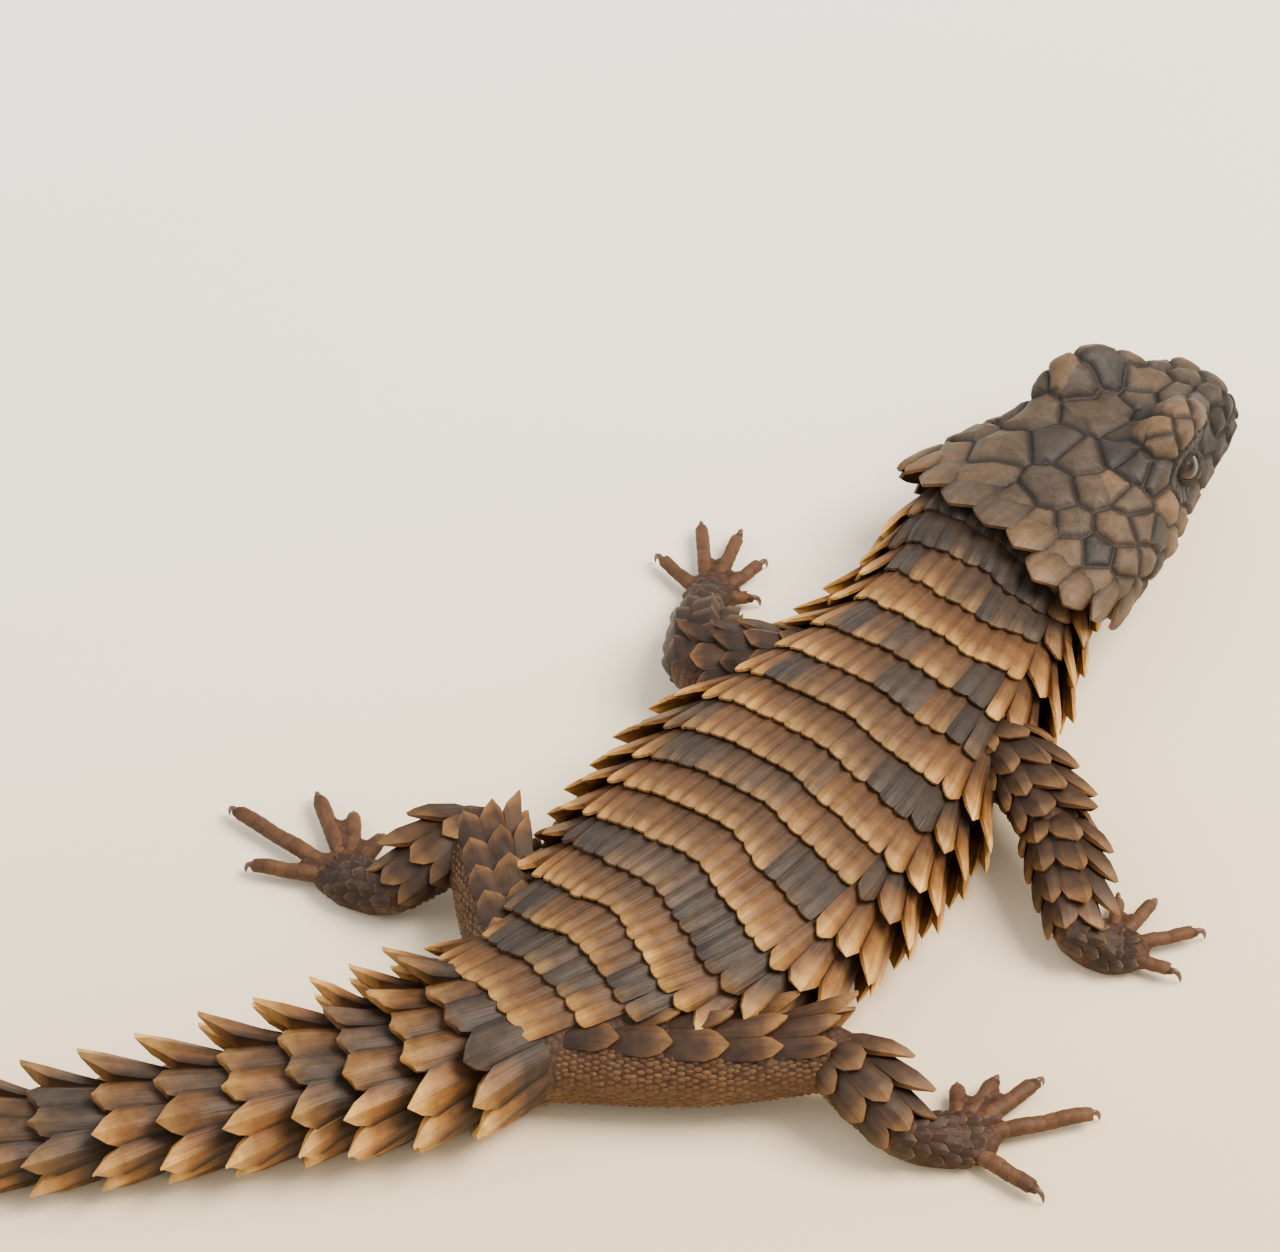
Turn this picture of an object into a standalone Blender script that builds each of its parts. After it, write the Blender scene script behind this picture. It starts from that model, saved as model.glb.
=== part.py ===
"""Armadillo girdled lizard, a life-size still model of an adult resting on the floor.

Lengths are millimetres until a mesh is made. +Y runs forward along the torso, +X is the animal's
right and +Z is up, with the floor at z = 0. Places along the trunk are distances from the tip of
the snout. An angle round the trunk or a limb is 0 on top, 90 on its right side and 180 below.
"""

import math
import random

import bmesh
import bpy
import numpy as np
from mathutils import Vector

MM = 0.001
GAP = 0.32
SEED = 11

# The middle of the model's box on the floor, in the frame that the lines below are given in
ORIGIN = Vector((11.95, -14.45, 0.0))

# Driving places along the trunk
MOUTH_CORNER = 20.5
NECK_END = 45.2
VENT = 98.7
TAIL_END = 173.0
TAIL_WHORLS = 20

# The trunk's line over the floor, from the snout to the tail tip
TRUNK_LINE = [
    (19.0, 57.6), (18.2, 52.0), (17.4, 46.0), (17.0, 38.0), (17.2, 31.0), (18.2, 25.5), (19.8, 20.0),
    (21.2, 13.0), (21.7, 6.0), (22.1, -2.0), (22.6, -10.0), (23.0, -17.0), (22.8, -23.0),
    (21.6, -29.0), (19.8, -36.0), (17.3, -42.6), (13.9, -48.8), (10.5, -53.3), (7.6, -57.4),
    (4.4, -61.4), (-1.7, -68.8), (-5.2, -72.4), (-9.9, -76.4), (-15.4, -79.8), (-21.6, -82.1),
    (-28.5, -83.2), (-35.5, -83.0),
]

# The head's own line, which turns a little from the neck's, and the degrees that it leans to its left
HEAD_ROLL = 6.0
HEAD_LINE = [
    (20.0, 56.6), (19.7, 52.0), (19.3, 46.0), (19.0, 40.0), (18.8, 33.0), (18.6, 26.0), (18.4, 20.0),
]

# Place, half width, top and underside of the head's core
HEAD_SIZES = [
    (0.0, 2.0, 8.4, 5.2), (1.2, 3.4, 9.9, 4.0), (3.5, 4.8, 11.1, 3.4), (7.0, 6.2, 12.1, 3.1),
    (11.0, 7.7, 12.8, 2.9), (15.0, 9.1, 13.2, 2.8), (20.0, 10.6, 13.5, 2.7), (25.0, 11.8, 13.4, 2.6),
    (29.0, 12.1, 13.0, 2.5), (32.0, 12.0, 12.7, 2.6), (37.0, 11.7, 12.4, 2.6),
]

# Place, half width, top and underside of the skin from the neck to the tail tip
TRUNK_SIZES = [
    (31.0, 9.4, 11.5, 2.3), (36.0, 9.2, 11.2, 1.2), (42.0, 9.7, 11.2, 0.1), (49.0, 11.0, 11.6, -0.4),
    (57.0, 12.6, 11.9, -0.5), (66.0, 13.5, 12.0, -0.5), (75.0, 13.4, 12.0, -0.5),
    (83.0, 12.1, 11.7, -0.5), (90.0, 9.8, 11.0, -0.4), (96.0, 7.9, 10.0, -0.4),
    (102.0, 6.6, 9.0, -0.3), (109.0, 5.6, 8.0, -0.3), (117.0, 4.7, 7.1, -0.25),
    (127.0, 4.0, 6.2, -0.2), (138.0, 3.3, 5.3, -0.2), (149.0, 2.6, 4.4, -0.15),
    (160.0, 1.8, 3.4, -0.1), (168.0, 1.2, 2.5, -0.1), (173.5, 0.8, 1.8, -0.1),
]


def spline(knots, values, at):
    """A smooth curve through values at knots, read at one place; past the ends it stays level."""
    at = min(max(at, knots[0]), knots[-1])
    i = min(max(int(np.searchsorted(knots, at, side="right")) - 1, 0), len(knots) - 2)
    span = knots[i + 1] - knots[i]
    t = (at - knots[i]) / span

    def slope(k):
        low, high = max(k - 1, 0), min(k + 1, len(knots) - 1)
        return (values[high] - values[low]) / (knots[high] - knots[low])

    start, end = slope(i) * span, slope(i + 1) * span
    return (
        (2 * t**3 - 3 * t**2 + 1) * values[i]
        + (t**3 - 2 * t**2 + t) * start
        + (3 * t**2 - 2 * t**3) * values[i + 1]
        + (t**3 - t**2) * end
    )


def ramp(value, low, high):
    """0 below low, 1 above high and a smooth rise between."""
    t = min(max((value - low) / (high - low), 0.0), 1.0)
    return t * t * (3 - 2 * t)


class Tube:
    """A body or limb: an oval section carried along a smooth line."""

    def __init__(self, line, sizes, power=2.25, roll=0.0):
        self.line = np.array([tuple(p) + (0.0,) * (3 - len(p)) for p in line], float)
        steps = np.linalg.norm(np.diff(self.line, axis=0), axis=1)
        self.knots = np.concatenate([[0.0], np.cumsum(steps)])
        self.sizes = np.array(sizes, float)
        self.power = power
        self.roll = math.radians(roll)
        self.length = float(self.knots[-1])

    def centre(self, s):
        beyond = min(s, 0.0) + max(s - self.length, 0.0)
        place = Vector(spline(self.knots, self.line, s))
        if beyond:
            place += self.heading(min(max(s, 0.0), self.length)) * beyond
        return place

    def heading(self, s):
        """Towards the tail or the toes."""
        s = min(max(s, 0.2), self.length - 0.2)
        ahead = Vector(spline(self.knots, self.line, s + 0.2))
        return (ahead - Vector(spline(self.knots, self.line, s - 0.2))).normalized()

    def frame(self, s):
        heading = self.heading(s)
        right = Vector((0, 0, 1)).cross(heading).normalized()
        right = right * math.cos(self.roll) + heading.cross(right) * math.sin(self.roll)
        return heading, right, heading.cross(right)

    def section(self, s):
        return spline(self.sizes[:, 0], self.sizes[:, 1:], s)

    def point(self, s, angle, lift=0.0, out=0.0, floor=0.0):
        """A point at lift over the skin, and pushed out sideways."""
        _, right, up = self.frame(s)
        half, top, bottom = self.section(s)
        tall = (top - bottom) / 2
        a = math.radians(angle)
        bend = 2 / self.power
        across = math.copysign(abs(math.sin(a)) ** bend, math.sin(a))
        high = math.copysign(abs(math.cos(a)) ** bend, math.cos(a))
        normal = (right * (across / half) + up * (high / tall)).normalized()
        place = self.centre(s) + right * (across * half) + up * ((top + bottom) / 2 + high * tall)
        place += normal * lift + right * math.copysign(out, math.sin(a))
        return Vector((place.x, place.y, max(place.z, floor)))


def loft(rings):
    """Closed triangles through rings of equal length, with a fan over each end."""
    count = len(rings[0])
    verts = [v for ring in rings for v in ring]
    faces = []
    for r in range(len(rings) - 1):
        for j in range(count):
            a, b = r * count + j, r * count + (j + 1) % count
            c, d = b + count, a + count
            faces += [(a, b, c), (a, c, d)] if j % 2 else [(a, b, d), (b, c, d)]
    for r, turn in ((0, 1), (len(rings) - 1, -1)):
        middle = len(verts)
        verts.append(sum(rings[r], Vector()) / count)
        for j in range(count):
            face = (r * count + (j + 1) % count, r * count + j, middle)
            faces.append(face[::turn])
    return verts, faces


def rounded_end(tube, s, angles, size, turn):
    """Two shrinking rings that close a limb softly past the place s."""
    rings = []
    for along, inward in ((0.4, 0.16), (0.75, 0.5)):
        rings.append([tube.point(s + turn * along * size, a, -inward * size) for a in angles])
    return rings


def scaled_skin(tube, edges, count, arc, tip, grow=0.0, sink=0.0, belly=5, ends=(0.0, 0.0), floor=0.0, seed=SEED):
    """A tube covered with rows of overlapping keeled scales.

    edges are the places where each row starts and ends. Each row has count scales over the arc on
    both sides of the top, and a smooth belly below. tip(s, angle) gives how far a scale's point
    passes the row's end, how high it stands and how far it is pushed out. grow makes the whole
    shape larger all round, and sink lowers its surface.
    """
    draw = random.Random(seed)
    angles = [-arc + 2 * arc * k / (2 * count) for k in range(2 * count + 1)]
    under = [arc + (360 - 2 * arc) * (k + 1) / (belly + 1) for k in range(belly)]
    everywhere = angles + under
    rings = []
    if ends[0]:
        rings += rounded_end(tube, edges[0] - grow, everywhere, ends[0] + grow, -1)[::-1]
    for row in range(len(edges) - 1):
        start, end = edges[row], edges[row + 1]
        shift = -grow if row == 0 else grow
        root, edge = [], []
        for k, angle in enumerate(everywhere):
            reach, rise, out = tip(end, angle)
            if k > 2 * count:
                root.append(tube.point(start + shift, angle, grow - sink, 0, floor))
                edge.append(tube.point(end - 0.3, angle, grow - sink, 0, floor))
                continue
            fade = 1.0 if 0 < k < 2 * count else 0.5
            wild = 1 + 0.14 * draw.uniform(-1, 1)
            root.append(tube.point(start + shift, angle, 0.1 + grow - sink, 0, floor))
            if k % 2:
                edge.append(tube.point(end + reach * wild + grow, angle, rise + grow - sink, out * wild, floor))
            else:
                edge.append(tube.point(end - 0.1, angle, 0.62 * rise * fade + grow - sink, 0.15 * out, floor))
        rings += [root, edge]
    last = [tube.point(edges[-1] + grow, a, (0.1 if i <= 2 * count else 0) + grow - sink, 0, floor)
            for i, a in enumerate(everywhere)]
    rings.append(last)
    if ends[1]:
        rings += rounded_end(tube, edges[-1] + grow, everywhere, ends[1] + grow, 1)
    return loft(rings)


def mesh_object(name, shape):
    """An object from vertices in millimetres and faces, turned so that it points outwards."""
    verts, faces = shape
    mesh = bpy.data.meshes.new(name)
    mesh.from_pydata([(v - ORIGIN) * MM for v in verts], [], faces)
    bm = bmesh.new()
    bm.from_mesh(mesh)
    if bm.calc_volume(signed=True) < 0:
        bmesh.ops.reverse_faces(bm, faces=bm.faces)
    bm.to_mesh(mesh)
    bm.free()
    obj = bpy.data.objects.new(name, mesh)
    bpy.context.scene.collection.objects.link(obj)
    return obj


def combined(obj, pieces, operation):
    """Joins pieces to an object, or cuts them from it, and keeps its largest closed surface."""
    group = bpy.data.collections.new("pieces")
    for piece in pieces:
        bpy.context.scene.collection.objects.unlink(piece)
        group.objects.link(piece)
    bpy.context.scene.collection.children.link(group)
    boolean = obj.modifiers.new("Join", "BOOLEAN")
    boolean.operation = operation
    boolean.operand_type = "COLLECTION"
    boolean.collection = group
    boolean.solver = "MANIFOLD"
    graph = bpy.context.evaluated_depsgraph_get()
    mesh = bpy.data.meshes.new_from_object(obj.evaluated_get(graph))
    obj.modifiers.clear()
    obj.data = mesh
    for piece in pieces:
        bpy.data.objects.remove(piece)
    bpy.data.collections.remove(group)
    keep_largest(mesh)
    return obj


def keep_largest(mesh):
    bm = bmesh.new()
    bm.from_mesh(mesh)
    bmesh.ops.triangulate(bm, faces=bm.faces)
    bmesh.ops.remove_doubles(bm, verts=bm.verts, dist=2e-7)
    bmesh.ops.dissolve_degenerate(bm, edges=bm.edges, dist=2e-7)
    left = set(bm.faces)
    shells = []
    while left:
        shell, edge = set(), [left.pop()]
        while edge:
            face = edge.pop()
            shell.add(face)
            for side in face.edges:
                for other in side.link_faces:
                    if other in left:
                        left.discard(other)
                        edge.append(other)
        shells.append(shell)
    shells.sort(key=lambda shell: sum(face.calc_area() for face in shell))
    loose = [face for shell in shells[:-1] for face in shell]
    if loose:
        bmesh.ops.delete(bm, geom=loose, context="FACES")
    bm.to_mesh(mesh)
    bm.free()


def coloured(obj, name, colour, roughness):
    material = bpy.data.materials.new(name)
    material.use_nodes = True
    shader = material.node_tree.nodes["Principled BSDF"]
    shader.inputs["Base Color"].default_value = (*colour, 1.0)
    shader.inputs["Roughness"].default_value = roughness
    shader.inputs["Metallic"].default_value = 0.0
    obj.data.materials.clear()
    obj.data.materials.append(material)
    obj.data.shade_smooth()
    obj.data.set_sharp_from_angle(angle=math.radians(25))


# Trunk

TRUNK = Tube(TRUNK_LINE, TRUNK_SIZES)
TRUNK_ARC = 116
NECK_EDGES = [26.4, 30.6, 34.2, 37.7, 41.4, NECK_END]
TORSO_EDGES = [NECK_END + (VENT - NECK_END) * k / 13 for k in range(14)]


def tail_edges():
    """Whorls that grow shorter towards the tip."""
    lengths = [1.0 - 0.016 * k for k in range(TAIL_WHORLS)]
    edges = [VENT]
    for length in lengths:
        edges.append(edges[-1] + length * (TAIL_END - VENT) / sum(lengths))
    return edges


def trunk_tip(s, angle):
    """Low points over the back, and long spines along the flanks."""
    side = ramp(abs(angle), 44, 84)
    size = 0.45 + 0.55 * ramp(s, 33, 44)
    low = 1 - 0.45 * ramp(abs(angle), 100, 118)
    hip = 1 + 0.4 * ramp(s, 82, 92)
    return (0.85 + 1.5 * side * low) * size, (1.05 + 0.35 * side) * size, 1.85 * side * low * size * hip


def tail_tip(s, angle):
    """Whorls of strong spines all round the tail but its underside."""
    side = ramp(abs(angle), 20, 80)
    low = 1 - 0.6 * ramp(abs(angle), 100, 125)
    size = 1 - 0.58 * ramp(s, 100, 172)
    return (1.2 + 1.0 * side) * low * size, (1.3 + 0.3 * side) * low * size, 1.3 * side * low * size


WHORLS = tail_edges()

# Row edges, scales in a row, their points, the arc that they cover, belly points and seed
TRUNK_PARTS = {
    "neck": (NECK_EDGES, 12, trunk_tip, TRUNK_ARC, 5, 1),
    "torso_front": (TORSO_EDGES[0:5], 13, trunk_tip, TRUNK_ARC, 5, 2),
    "torso_middle": (TORSO_EDGES[4:9], 14, trunk_tip, TRUNK_ARC, 5, 3),
    "torso_rear": (TORSO_EDGES[8:14], 12, trunk_tip, TRUNK_ARC, 5, 4),
    "tail_1": (WHORLS[0:6], 9, tail_tip, 125, 3, 5),
    "tail_2": (WHORLS[5:11], 8, tail_tip, 125, 3, 6),
    "tail_3": (WHORLS[10:16], 7, tail_tip, 125, 3, 7),
    "tail_4": (WHORLS[15:21], 6, tail_tip, 125, 3, 8),
}


def trunk_shape(part, grow=0.0, sink=0.0, floor=0.0):
    edges, count, tip, arc, belly, seed = TRUNK_PARTS[part]
    starts = [edges[0] + GAP] + list(edges[1:])
    return scaled_skin(TRUNK, starts, count, arc, tip, grow=grow, sink=sink, belly=belly, floor=floor, seed=seed)


def build_trunk():
    for part in TRUNK_PARTS:
        mesh_object(part, trunk_shape(part))
    cuts = [head_block("block", -GAP)]
    cuts += [rear_spine(*spine, grow=GAP) for spine in REAR_SPINES]
    combined(bpy.data.objects["neck"], cuts, "DIFFERENCE")


# How far the surface is lowered in each of the shapes that together clear a body and its spines
ROOM = GAP + 0.07
SINKS = (0.0, 0.7 * ROOM, 1.6 * ROOM)


def room_at_trunk(kind):
    """What clears the trunk near a limb, and the underside of its spines."""
    parts = {"front": ("neck", "torso_front"), "hind": ("torso_middle", "torso_rear", "tail_1")}[kind]
    return [mesh_object("room", trunk_shape(part, ROOM, sink, -3.0)) for part in parts for sink in SINKS]


# Head

HEAD = Tube(HEAD_LINE, HEAD_SIZES, roll=HEAD_ROLL)
EYE_RADIUS = 2.15
EYE_PLACE = (12.2, 6.0, 9.9)

# Place, angle, spread along, spread round and height of each swelling or hollow of the head
HEAD_RELIEF = [
    (10.5, 38, 3.6, 15, 3.7), (12.2, 80, 2.4, 12, -0.8), (2.8, 42, 1.5, 22, 0.55),
    (7.4, 72, 2.0, 15, -0.45), (10.0, 0, 3.4, 15, -0.45), (24.0, 74, 4.5, 18, 0.6),
    (26.5, 108, 3.6, 13, 0.5),
]

# Place and angle of the head's plates: snout, brows and crown, then the cheeks and lips
PLATES = [
    (2.6, -2), (3.6, 36), (3.6, -40), (7.6, 0), (7.2, 52), (7.2, -56), (11.4, 32), (11.4, -38), (14.2, -2),
    (18.6, -28), (20.2, -8), (19.2, 11), (23.4, -26), (22.2, -58), (28.0, -14), (25.0, 7), (21.4, 30),
    (26.6, 26), (23.4, 49), (28.2, 46), (26.2, 70), (18.2, 72), (17.4, -62), (25.6, -84),
    (4.0, 84), (8.6, 97), (13.4, 102), (18.6, 104), (4.0, -88), (8.6, -98), (13.4, -102), (18.6, -104),
]

# Angle, half width, place of the point and lift of the pointed scales along the head's rear edge
REAR_SPINES = [
    (-88, 8.0, 27.6, 0.6), (-68, 8.0, 29.0, 0.7), (-49, 8.2, 30.4, 0.9), (-30, 8.2, 31.5, 0.9),
    (-11, 8.0, 32.2, 0.8), (11, 8.0, 32.8, 0.8), (30, 8.2, 34.0, 0.9), (49, 8.2, 34.4, 1.0),
    (68, 8.0, 34.6, 1.0), (88, 8.0, 33.0, 0.8),
]

# Place along and across of the head's rear edge, seen from above
HEAD_REAR = [
    (24.6, -18.0), (26.4, -12.0), (28.6, -8.0), (30.2, -3.5), (31.2, 1.0), (32.0, 5.0), (32.0, 9.0),
    (30.4, 12.5), (28.8, 18.0),
]


def head_relief(s, angle):
    total = 0.0
    for place, turn, along, around, height in HEAD_RELIEF:
        total += height * math.exp(-((s - place) / along) ** 2 - ((abs(angle) - turn) / around) ** 2)
    return total


def head_point(s, angle, lift=0.0, out=0.0):
    angle = (angle + 180) % 360 - 180
    return HEAD.point(s, angle, lift + head_relief(s, angle), out)


def head_core():
    places = [0.0, 0.8, 2.4, 5.0, 8.0, 10.5, 13.0, 15.6, 18.6, 22.0, 26.0, 30.0, 34.0]
    sides = 18
    rings = [[head_point(s, 360 * k / sides) for k in range(sides)] for s in places]
    head = mesh_object("head", loft(rings))
    return combined(head, [head_block("block", 0.0)], "INTERSECT")


def head_block(name, gap):
    """The space in front of the head's rear edge, from far below to far above it."""
    outline = [(s - gap, across) for s, across in HEAD_REAR] + [(-9.0, 18.0), (-9.0, -18.0)]
    verts = []
    for height in (-9.0, 24.0):
        verts += [head_place(s, across, height) for s, across in outline]
    return mesh_object(name, prism(verts))


def prism(verts):
    """Faces between two outlines of equal length."""
    count = len(verts) // 2
    faces = [tuple(range(count)), tuple(range(2 * count - 1, count - 1, -1))]
    for i in range(count):
        j = (i + 1) % count
        faces.append((j, i, i + count, j + count))
    return verts, faces


DEGREE = 0.155


def plate_outline(seed, groove):
    """The cell of one plate among its neighbours, in place along and degrees round the head."""
    x, y = seed[0], seed[1] * DEGREE
    cell = [Vector((1.0, -19.0)), Vector((28.6, -19.0)), Vector((28.6, 19.0)), Vector((1.0, 19.0))]
    reach = 3.3
    for k in range(8):
        turn = 2 * math.pi * (k + 0.5) / 8
        normal = Vector((math.cos(turn), math.sin(turn)))
        cell = clipped(cell, normal, normal.dot(Vector((x, y))) + reach)
    for other in PLATES:
        ox, oy = other[0], other[1] * DEGREE
        if (ox, oy) == (x, y):
            continue
        normal = Vector((ox - x, oy - y)).normalized()
        middle = Vector(((ox + x) / 2, (oy + y) / 2))
        cell = clipped(cell, normal, normal.dot(middle) - groove)
    return [(v.x, v.y / DEGREE) for v in cell]


def clipped(polygon, normal, limit):
    """The part of a polygon that lies no further than limit along normal."""
    kept = []
    for i, here in enumerate(polygon):
        after = polygon[(i + 1) % len(polygon)]
        here_in, after_in = normal.dot(here) <= limit, normal.dot(after) <= limit
        if here_in:
            kept.append(here)
        if here_in != after_in:
            t = (limit - normal.dot(here)) / (normal.dot(after) - normal.dot(here))
            kept.append(here.lerp(after, t))
    return [v for i, v in enumerate(kept) if (v - kept[i - 1]).length > 0.9]


def plate(outline, height, root=0.7):
    """A crowned plate on the head with its root sunk in."""
    count = len(outline)
    middle = (sum(p[0] for p in outline) / count, sum(p[1] for p in outline) / count)
    verts = [head_point(s, angle, height) for s, angle in outline]
    verts += [head_point(s, angle, -root) for s, angle in outline]
    verts += [head_point(*middle, height + 0.12), head_point(*middle, -root - 0.2)]
    faces = []
    for i in range(count):
        j = (i + 1) % count
        faces += [(i, j, 2 * count), (j + count, i + count, 2 * count + 1)]
        faces += [(i, i + count, j + count), (i, j + count, j)]
    return mesh_object("plate", (verts, faces))


def rear_spine(angle, width, tip, lift, grow=0.0):
    """A pointed scale that reaches back over the neck, or the room round it."""
    width += 5.0 * grow
    start, end = tip - 5.0 - grow, tip + grow
    outline = [(start, angle - 0.38 * width), (start + 0.2, angle), (start, angle + 0.38 * width),
               (tip - 2.6, angle + width), (end - 1.4, angle + 0.75 * width), (end, angle),
               (end - 1.4, angle - 0.75 * width), (tip - 2.6, angle - width)]
    tops = (0.35, 0.5, 0.35, 0.5, lift - 0.15, lift + 0.2, lift - 0.15, 0.5)
    roots = (-0.7, -0.7, -0.7, -0.5, lift - 0.75, lift - 0.2, lift - 0.75, -0.5)
    side = 0.45 * ramp(abs(angle), 30, 80)
    outs = (0, 0, 0, 0, side, 2 * side, side, 0)
    count = len(outline)
    verts = [head_point(s, a, h + grow, o) for (s, a), h, o in zip(outline, tops, outs)]
    verts += [head_point(s, a, h - grow, o) for (s, a), h, o in zip(outline, roots, outs)]
    verts += [head_point(tip - 2.0, angle, lift + 0.1 + grow, side / 2), head_point(tip - 3.2, angle, -0.5 - grow)]
    faces = []
    for i in range(count):
        j = (i + 1) % count
        faces += [(i, j, 2 * count), (j + count, i + count, 2 * count + 1)]
        faces += [(i, i + count, j + count), (i, j + count, j)]
    return mesh_object("spine", (verts, faces))


def head_place(s, across, height):
    """A place in the head given from its midline and the floor."""
    _, right, up = HEAD.frame(s)
    return HEAD.centre(s) + right * across + up * height


def ball(name, centre, radius, squash=(1, 1, 1), turn=0.0, rings=10, sides=16):
    """A sphere or ellipsoid made of rings, turned about the vertical."""
    cos, sin = math.cos(turn), math.sin(turn)
    layers = []
    for i in range(1, rings):
        tilt = math.pi * i / rings
        layer = []
        for k in range(sides):
            around = 2 * math.pi * k / sides
            x = radius * squash[0] * math.sin(tilt) * math.cos(around)
            y = radius * squash[1] * math.sin(tilt) * math.sin(around)
            z = radius * squash[2] * math.cos(tilt)
            layer.append(centre + Vector((x * cos - y * sin, x * sin + y * cos, z)))
        layers.append(layer)
    return mesh_object(name, loft(layers))


def eye_centre(side):
    s, across, height = EYE_PLACE
    return head_place(s, side * across, height)


def lid(side):
    """A soft ring round the eye, long from front to back; the socket then hollows it."""
    s, across, height = EYE_PLACE
    heading, right, up = HEAD.frame(s)
    outward = (right * side + up * 0.3).normalized()
    upward = outward.cross(heading).normalized()
    if upward.z < 0:
        upward.negate()
    middle = eye_centre(side) + outward * 0.85
    rings = []
    for i in range(12):
        turn = 2 * math.pi * i / 12
        spoke = heading * math.cos(turn) * 2.45 + upward * math.sin(turn) * 1.95
        outer = spoke.normalized()
        ring = []
        for k in range(6):
            a = 2 * math.pi * k / 6
            ring.append(middle + spoke + outer * math.cos(a) * 0.62 + outward * math.sin(a) * 0.7)
        rings.append(ring)
    verts = [v for ring in rings for v in ring]
    faces = []
    for i in range(12):
        for k in range(6):
            a, b = i * 6 + k, i * 6 + (k + 1) % 6
            c, d = ((i + 1) % 12) * 6 + (k + 1) % 6, ((i + 1) % 12) * 6 + k
            faces += [(a, b, c), (a, c, d)]
    return mesh_object("lid", (verts, faces))


def side_slab(name, outline, reach=20.0):
    """An outline in place along and height, carried across the whole head."""
    verts = []
    for across in (-reach, reach):
        verts += [head_place(s, across, height) for s, height in outline]
    return mesh_object(name, prism(verts))


# Place and height of the mouth line, from the snout to its corner
MOUTH_LINE = [(-3.0, 6.2), (2.0, 6.1), (8.0, 5.7), (14.0, 5.5), (MOUTH_CORNER, 6.1)]
JAW_HEEL = (25.5, 3.8)


def mouth_slab(name, grow):
    """The space of the lower jaw."""
    top = [(s, height + grow) for s, height in MOUTH_LINE]
    top[-1] = (top[-1][0] + grow, top[-1][1])
    heel = (JAW_HEEL[0] + grow, JAW_HEEL[1])
    return side_slab(name, top + [heel, (JAW_HEEL[0] + grow, -2.0), (-3.0, -2.0)])


def build_head():
    head = head_core()
    pieces = [plate(plate_outline(seed, 0.2), 0.42) for seed in PLATES]
    pieces += [rear_spine(*spine) for spine in REAR_SPINES]
    pieces += [lid(1), lid(-1)]
    combined(head, pieces, "UNION")
    cuts = [ball("socket", eye_centre(side), EYE_RADIUS + GAP) for side in (1, -1)]
    for side in (1, -1):
        cuts.append(ball("nostril", head_point(2.3, side * 62, 0.3), 0.62, rings=6, sides=8))
    jaw = mouth_slab("jaw", 0.0)
    throat = head.copy()
    throat.data = head.data.copy()
    bpy.context.scene.collection.objects.link(throat)
    combined(jaw, [throat], "INTERSECT")
    combined(head, cuts + [mouth_slab("mouth", GAP)], "DIFFERENCE")
    for side, name in ((1, "eye_right"), (-1, "eye_left")):
        ball(name, eye_centre(side), EYE_RADIUS, rings=8, sides=12)


# Limbs

# Root inside the trunk, the upper joint line, elbow or knee, and wrist or ankle
LIMBS = {
    "front_right": [(27.0, 9.8, 5.6), (33.6, 8.4, 6.4), (39.9, 5.4, 5.8), (47.0, -0.6, 3.0)],
    "front_left": [(17.0, 8.2, 5.6), (11.6, 5.4, 6.2), (5.6, 1.0, 5.4), (0.0, 8.0, 3.0)],
    "hind_right": [(22.6, -38.2, 4.4), (33.2, -31.9, 4.8), (41.2, -25.3, 5.4), (49.2, -26.4, 2.8)],
    "hind_left": [(17.6, -34.4, 4.4), (10.2, -29.8, 5.0), (3.7, -25.2, 5.6), (1.0, -33.0, 2.8)],
}
UPPER_SIZES = {"front": (3.1, 2.9, 2.5), "hind": (4.5, 3.7, 2.7)}
LOWER_SIZES = {"front": (2.5, 2.4, 1.8), "hind": (2.6, 2.6, 1.9)}

# Tips of the toes, from the innermost outwards
TOES = {
    "front_right": [(45.2, 2.8), (46.4, 5.6), (48.9, 6.9), (52.9, 7.2), (54.2, 2.0)],
    "front_left": [(0.9, 14.1), (-1.2, 18.0), (-5.0, 19.6), (-8.2, 18.2), (-8.4, 12.8)],
    "hind_right": [(49.1, -19.0), (50.8, -16.4), (53.3, -14.3), (58.8, -15.4), (59.5, -23.6)],
    "hind_left": [(-4.6, -28.4), (-7.8, -28.1), (-11.5, -28.1), (-14.6, -34.4), (-9.4, -37.4)],
}
PALMS = {
    "front_right": (50.0, 1.0), "front_left": (-1.8, 11.6),
    "hind_right": (52.4, -22.8), "hind_left": (-3.8, -33.2),
}
TOE_RADIUS = {"front": 0.78, "hind": 0.88}
CLAW_LENGTH = 1.5


def limb_tip(outer, size, length):
    """Keeled scales, stronger on the outer side of the limb and towards its joint."""
    def tip(s, angle):
        strong = math.exp(-((angle - outer) / 55) ** 2) * (0.25 + 0.75 * ramp(s, 0.2 * length, 0.75 * length))
        low = 1 - 0.7 * ramp(abs(angle), 95, 125)
        return (0.8 + 1.3 * strong) * low * size, (0.75 + 0.65 * strong) * low * size, 0.4 * strong * low * size
    return tip


def limb_tube(points, radii, flat=0.92):
    tube = Tube(points, [(0, 1, 1, -1)])
    places = [tube.length * k / (len(radii) - 1) for k in range(len(radii))]
    tube.sizes = np.array([(s, r, r * flat, -r * flat) for s, r in zip(places, radii)])
    return tube


def limb_shape(points, radii, rows, outer, size, long_root=False, grow=0.0, sink=0.0, ends=(0.0, 0.0)):
    tube = limb_tube(points, radii)
    edges = [tube.length * k / rows for k in range(rows + 1)]
    tip = limb_tip(outer, size, tube.length if long_root else 1.0)
    floor = 0.0 if grow == 0 else -3.0
    return scaled_skin(tube, edges, 5, 120, tip, grow=grow, sink=sink, belly=3, ends=ends, floor=floor)


def room_round(args, ends=(0.0, 0.0)):
    """What clears a limb all round, and the underside of its spines."""
    return [mesh_object("room", limb_shape(*args, grow=ROOM, sink=sink, ends=ends)) for sink in SINKS]


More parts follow.
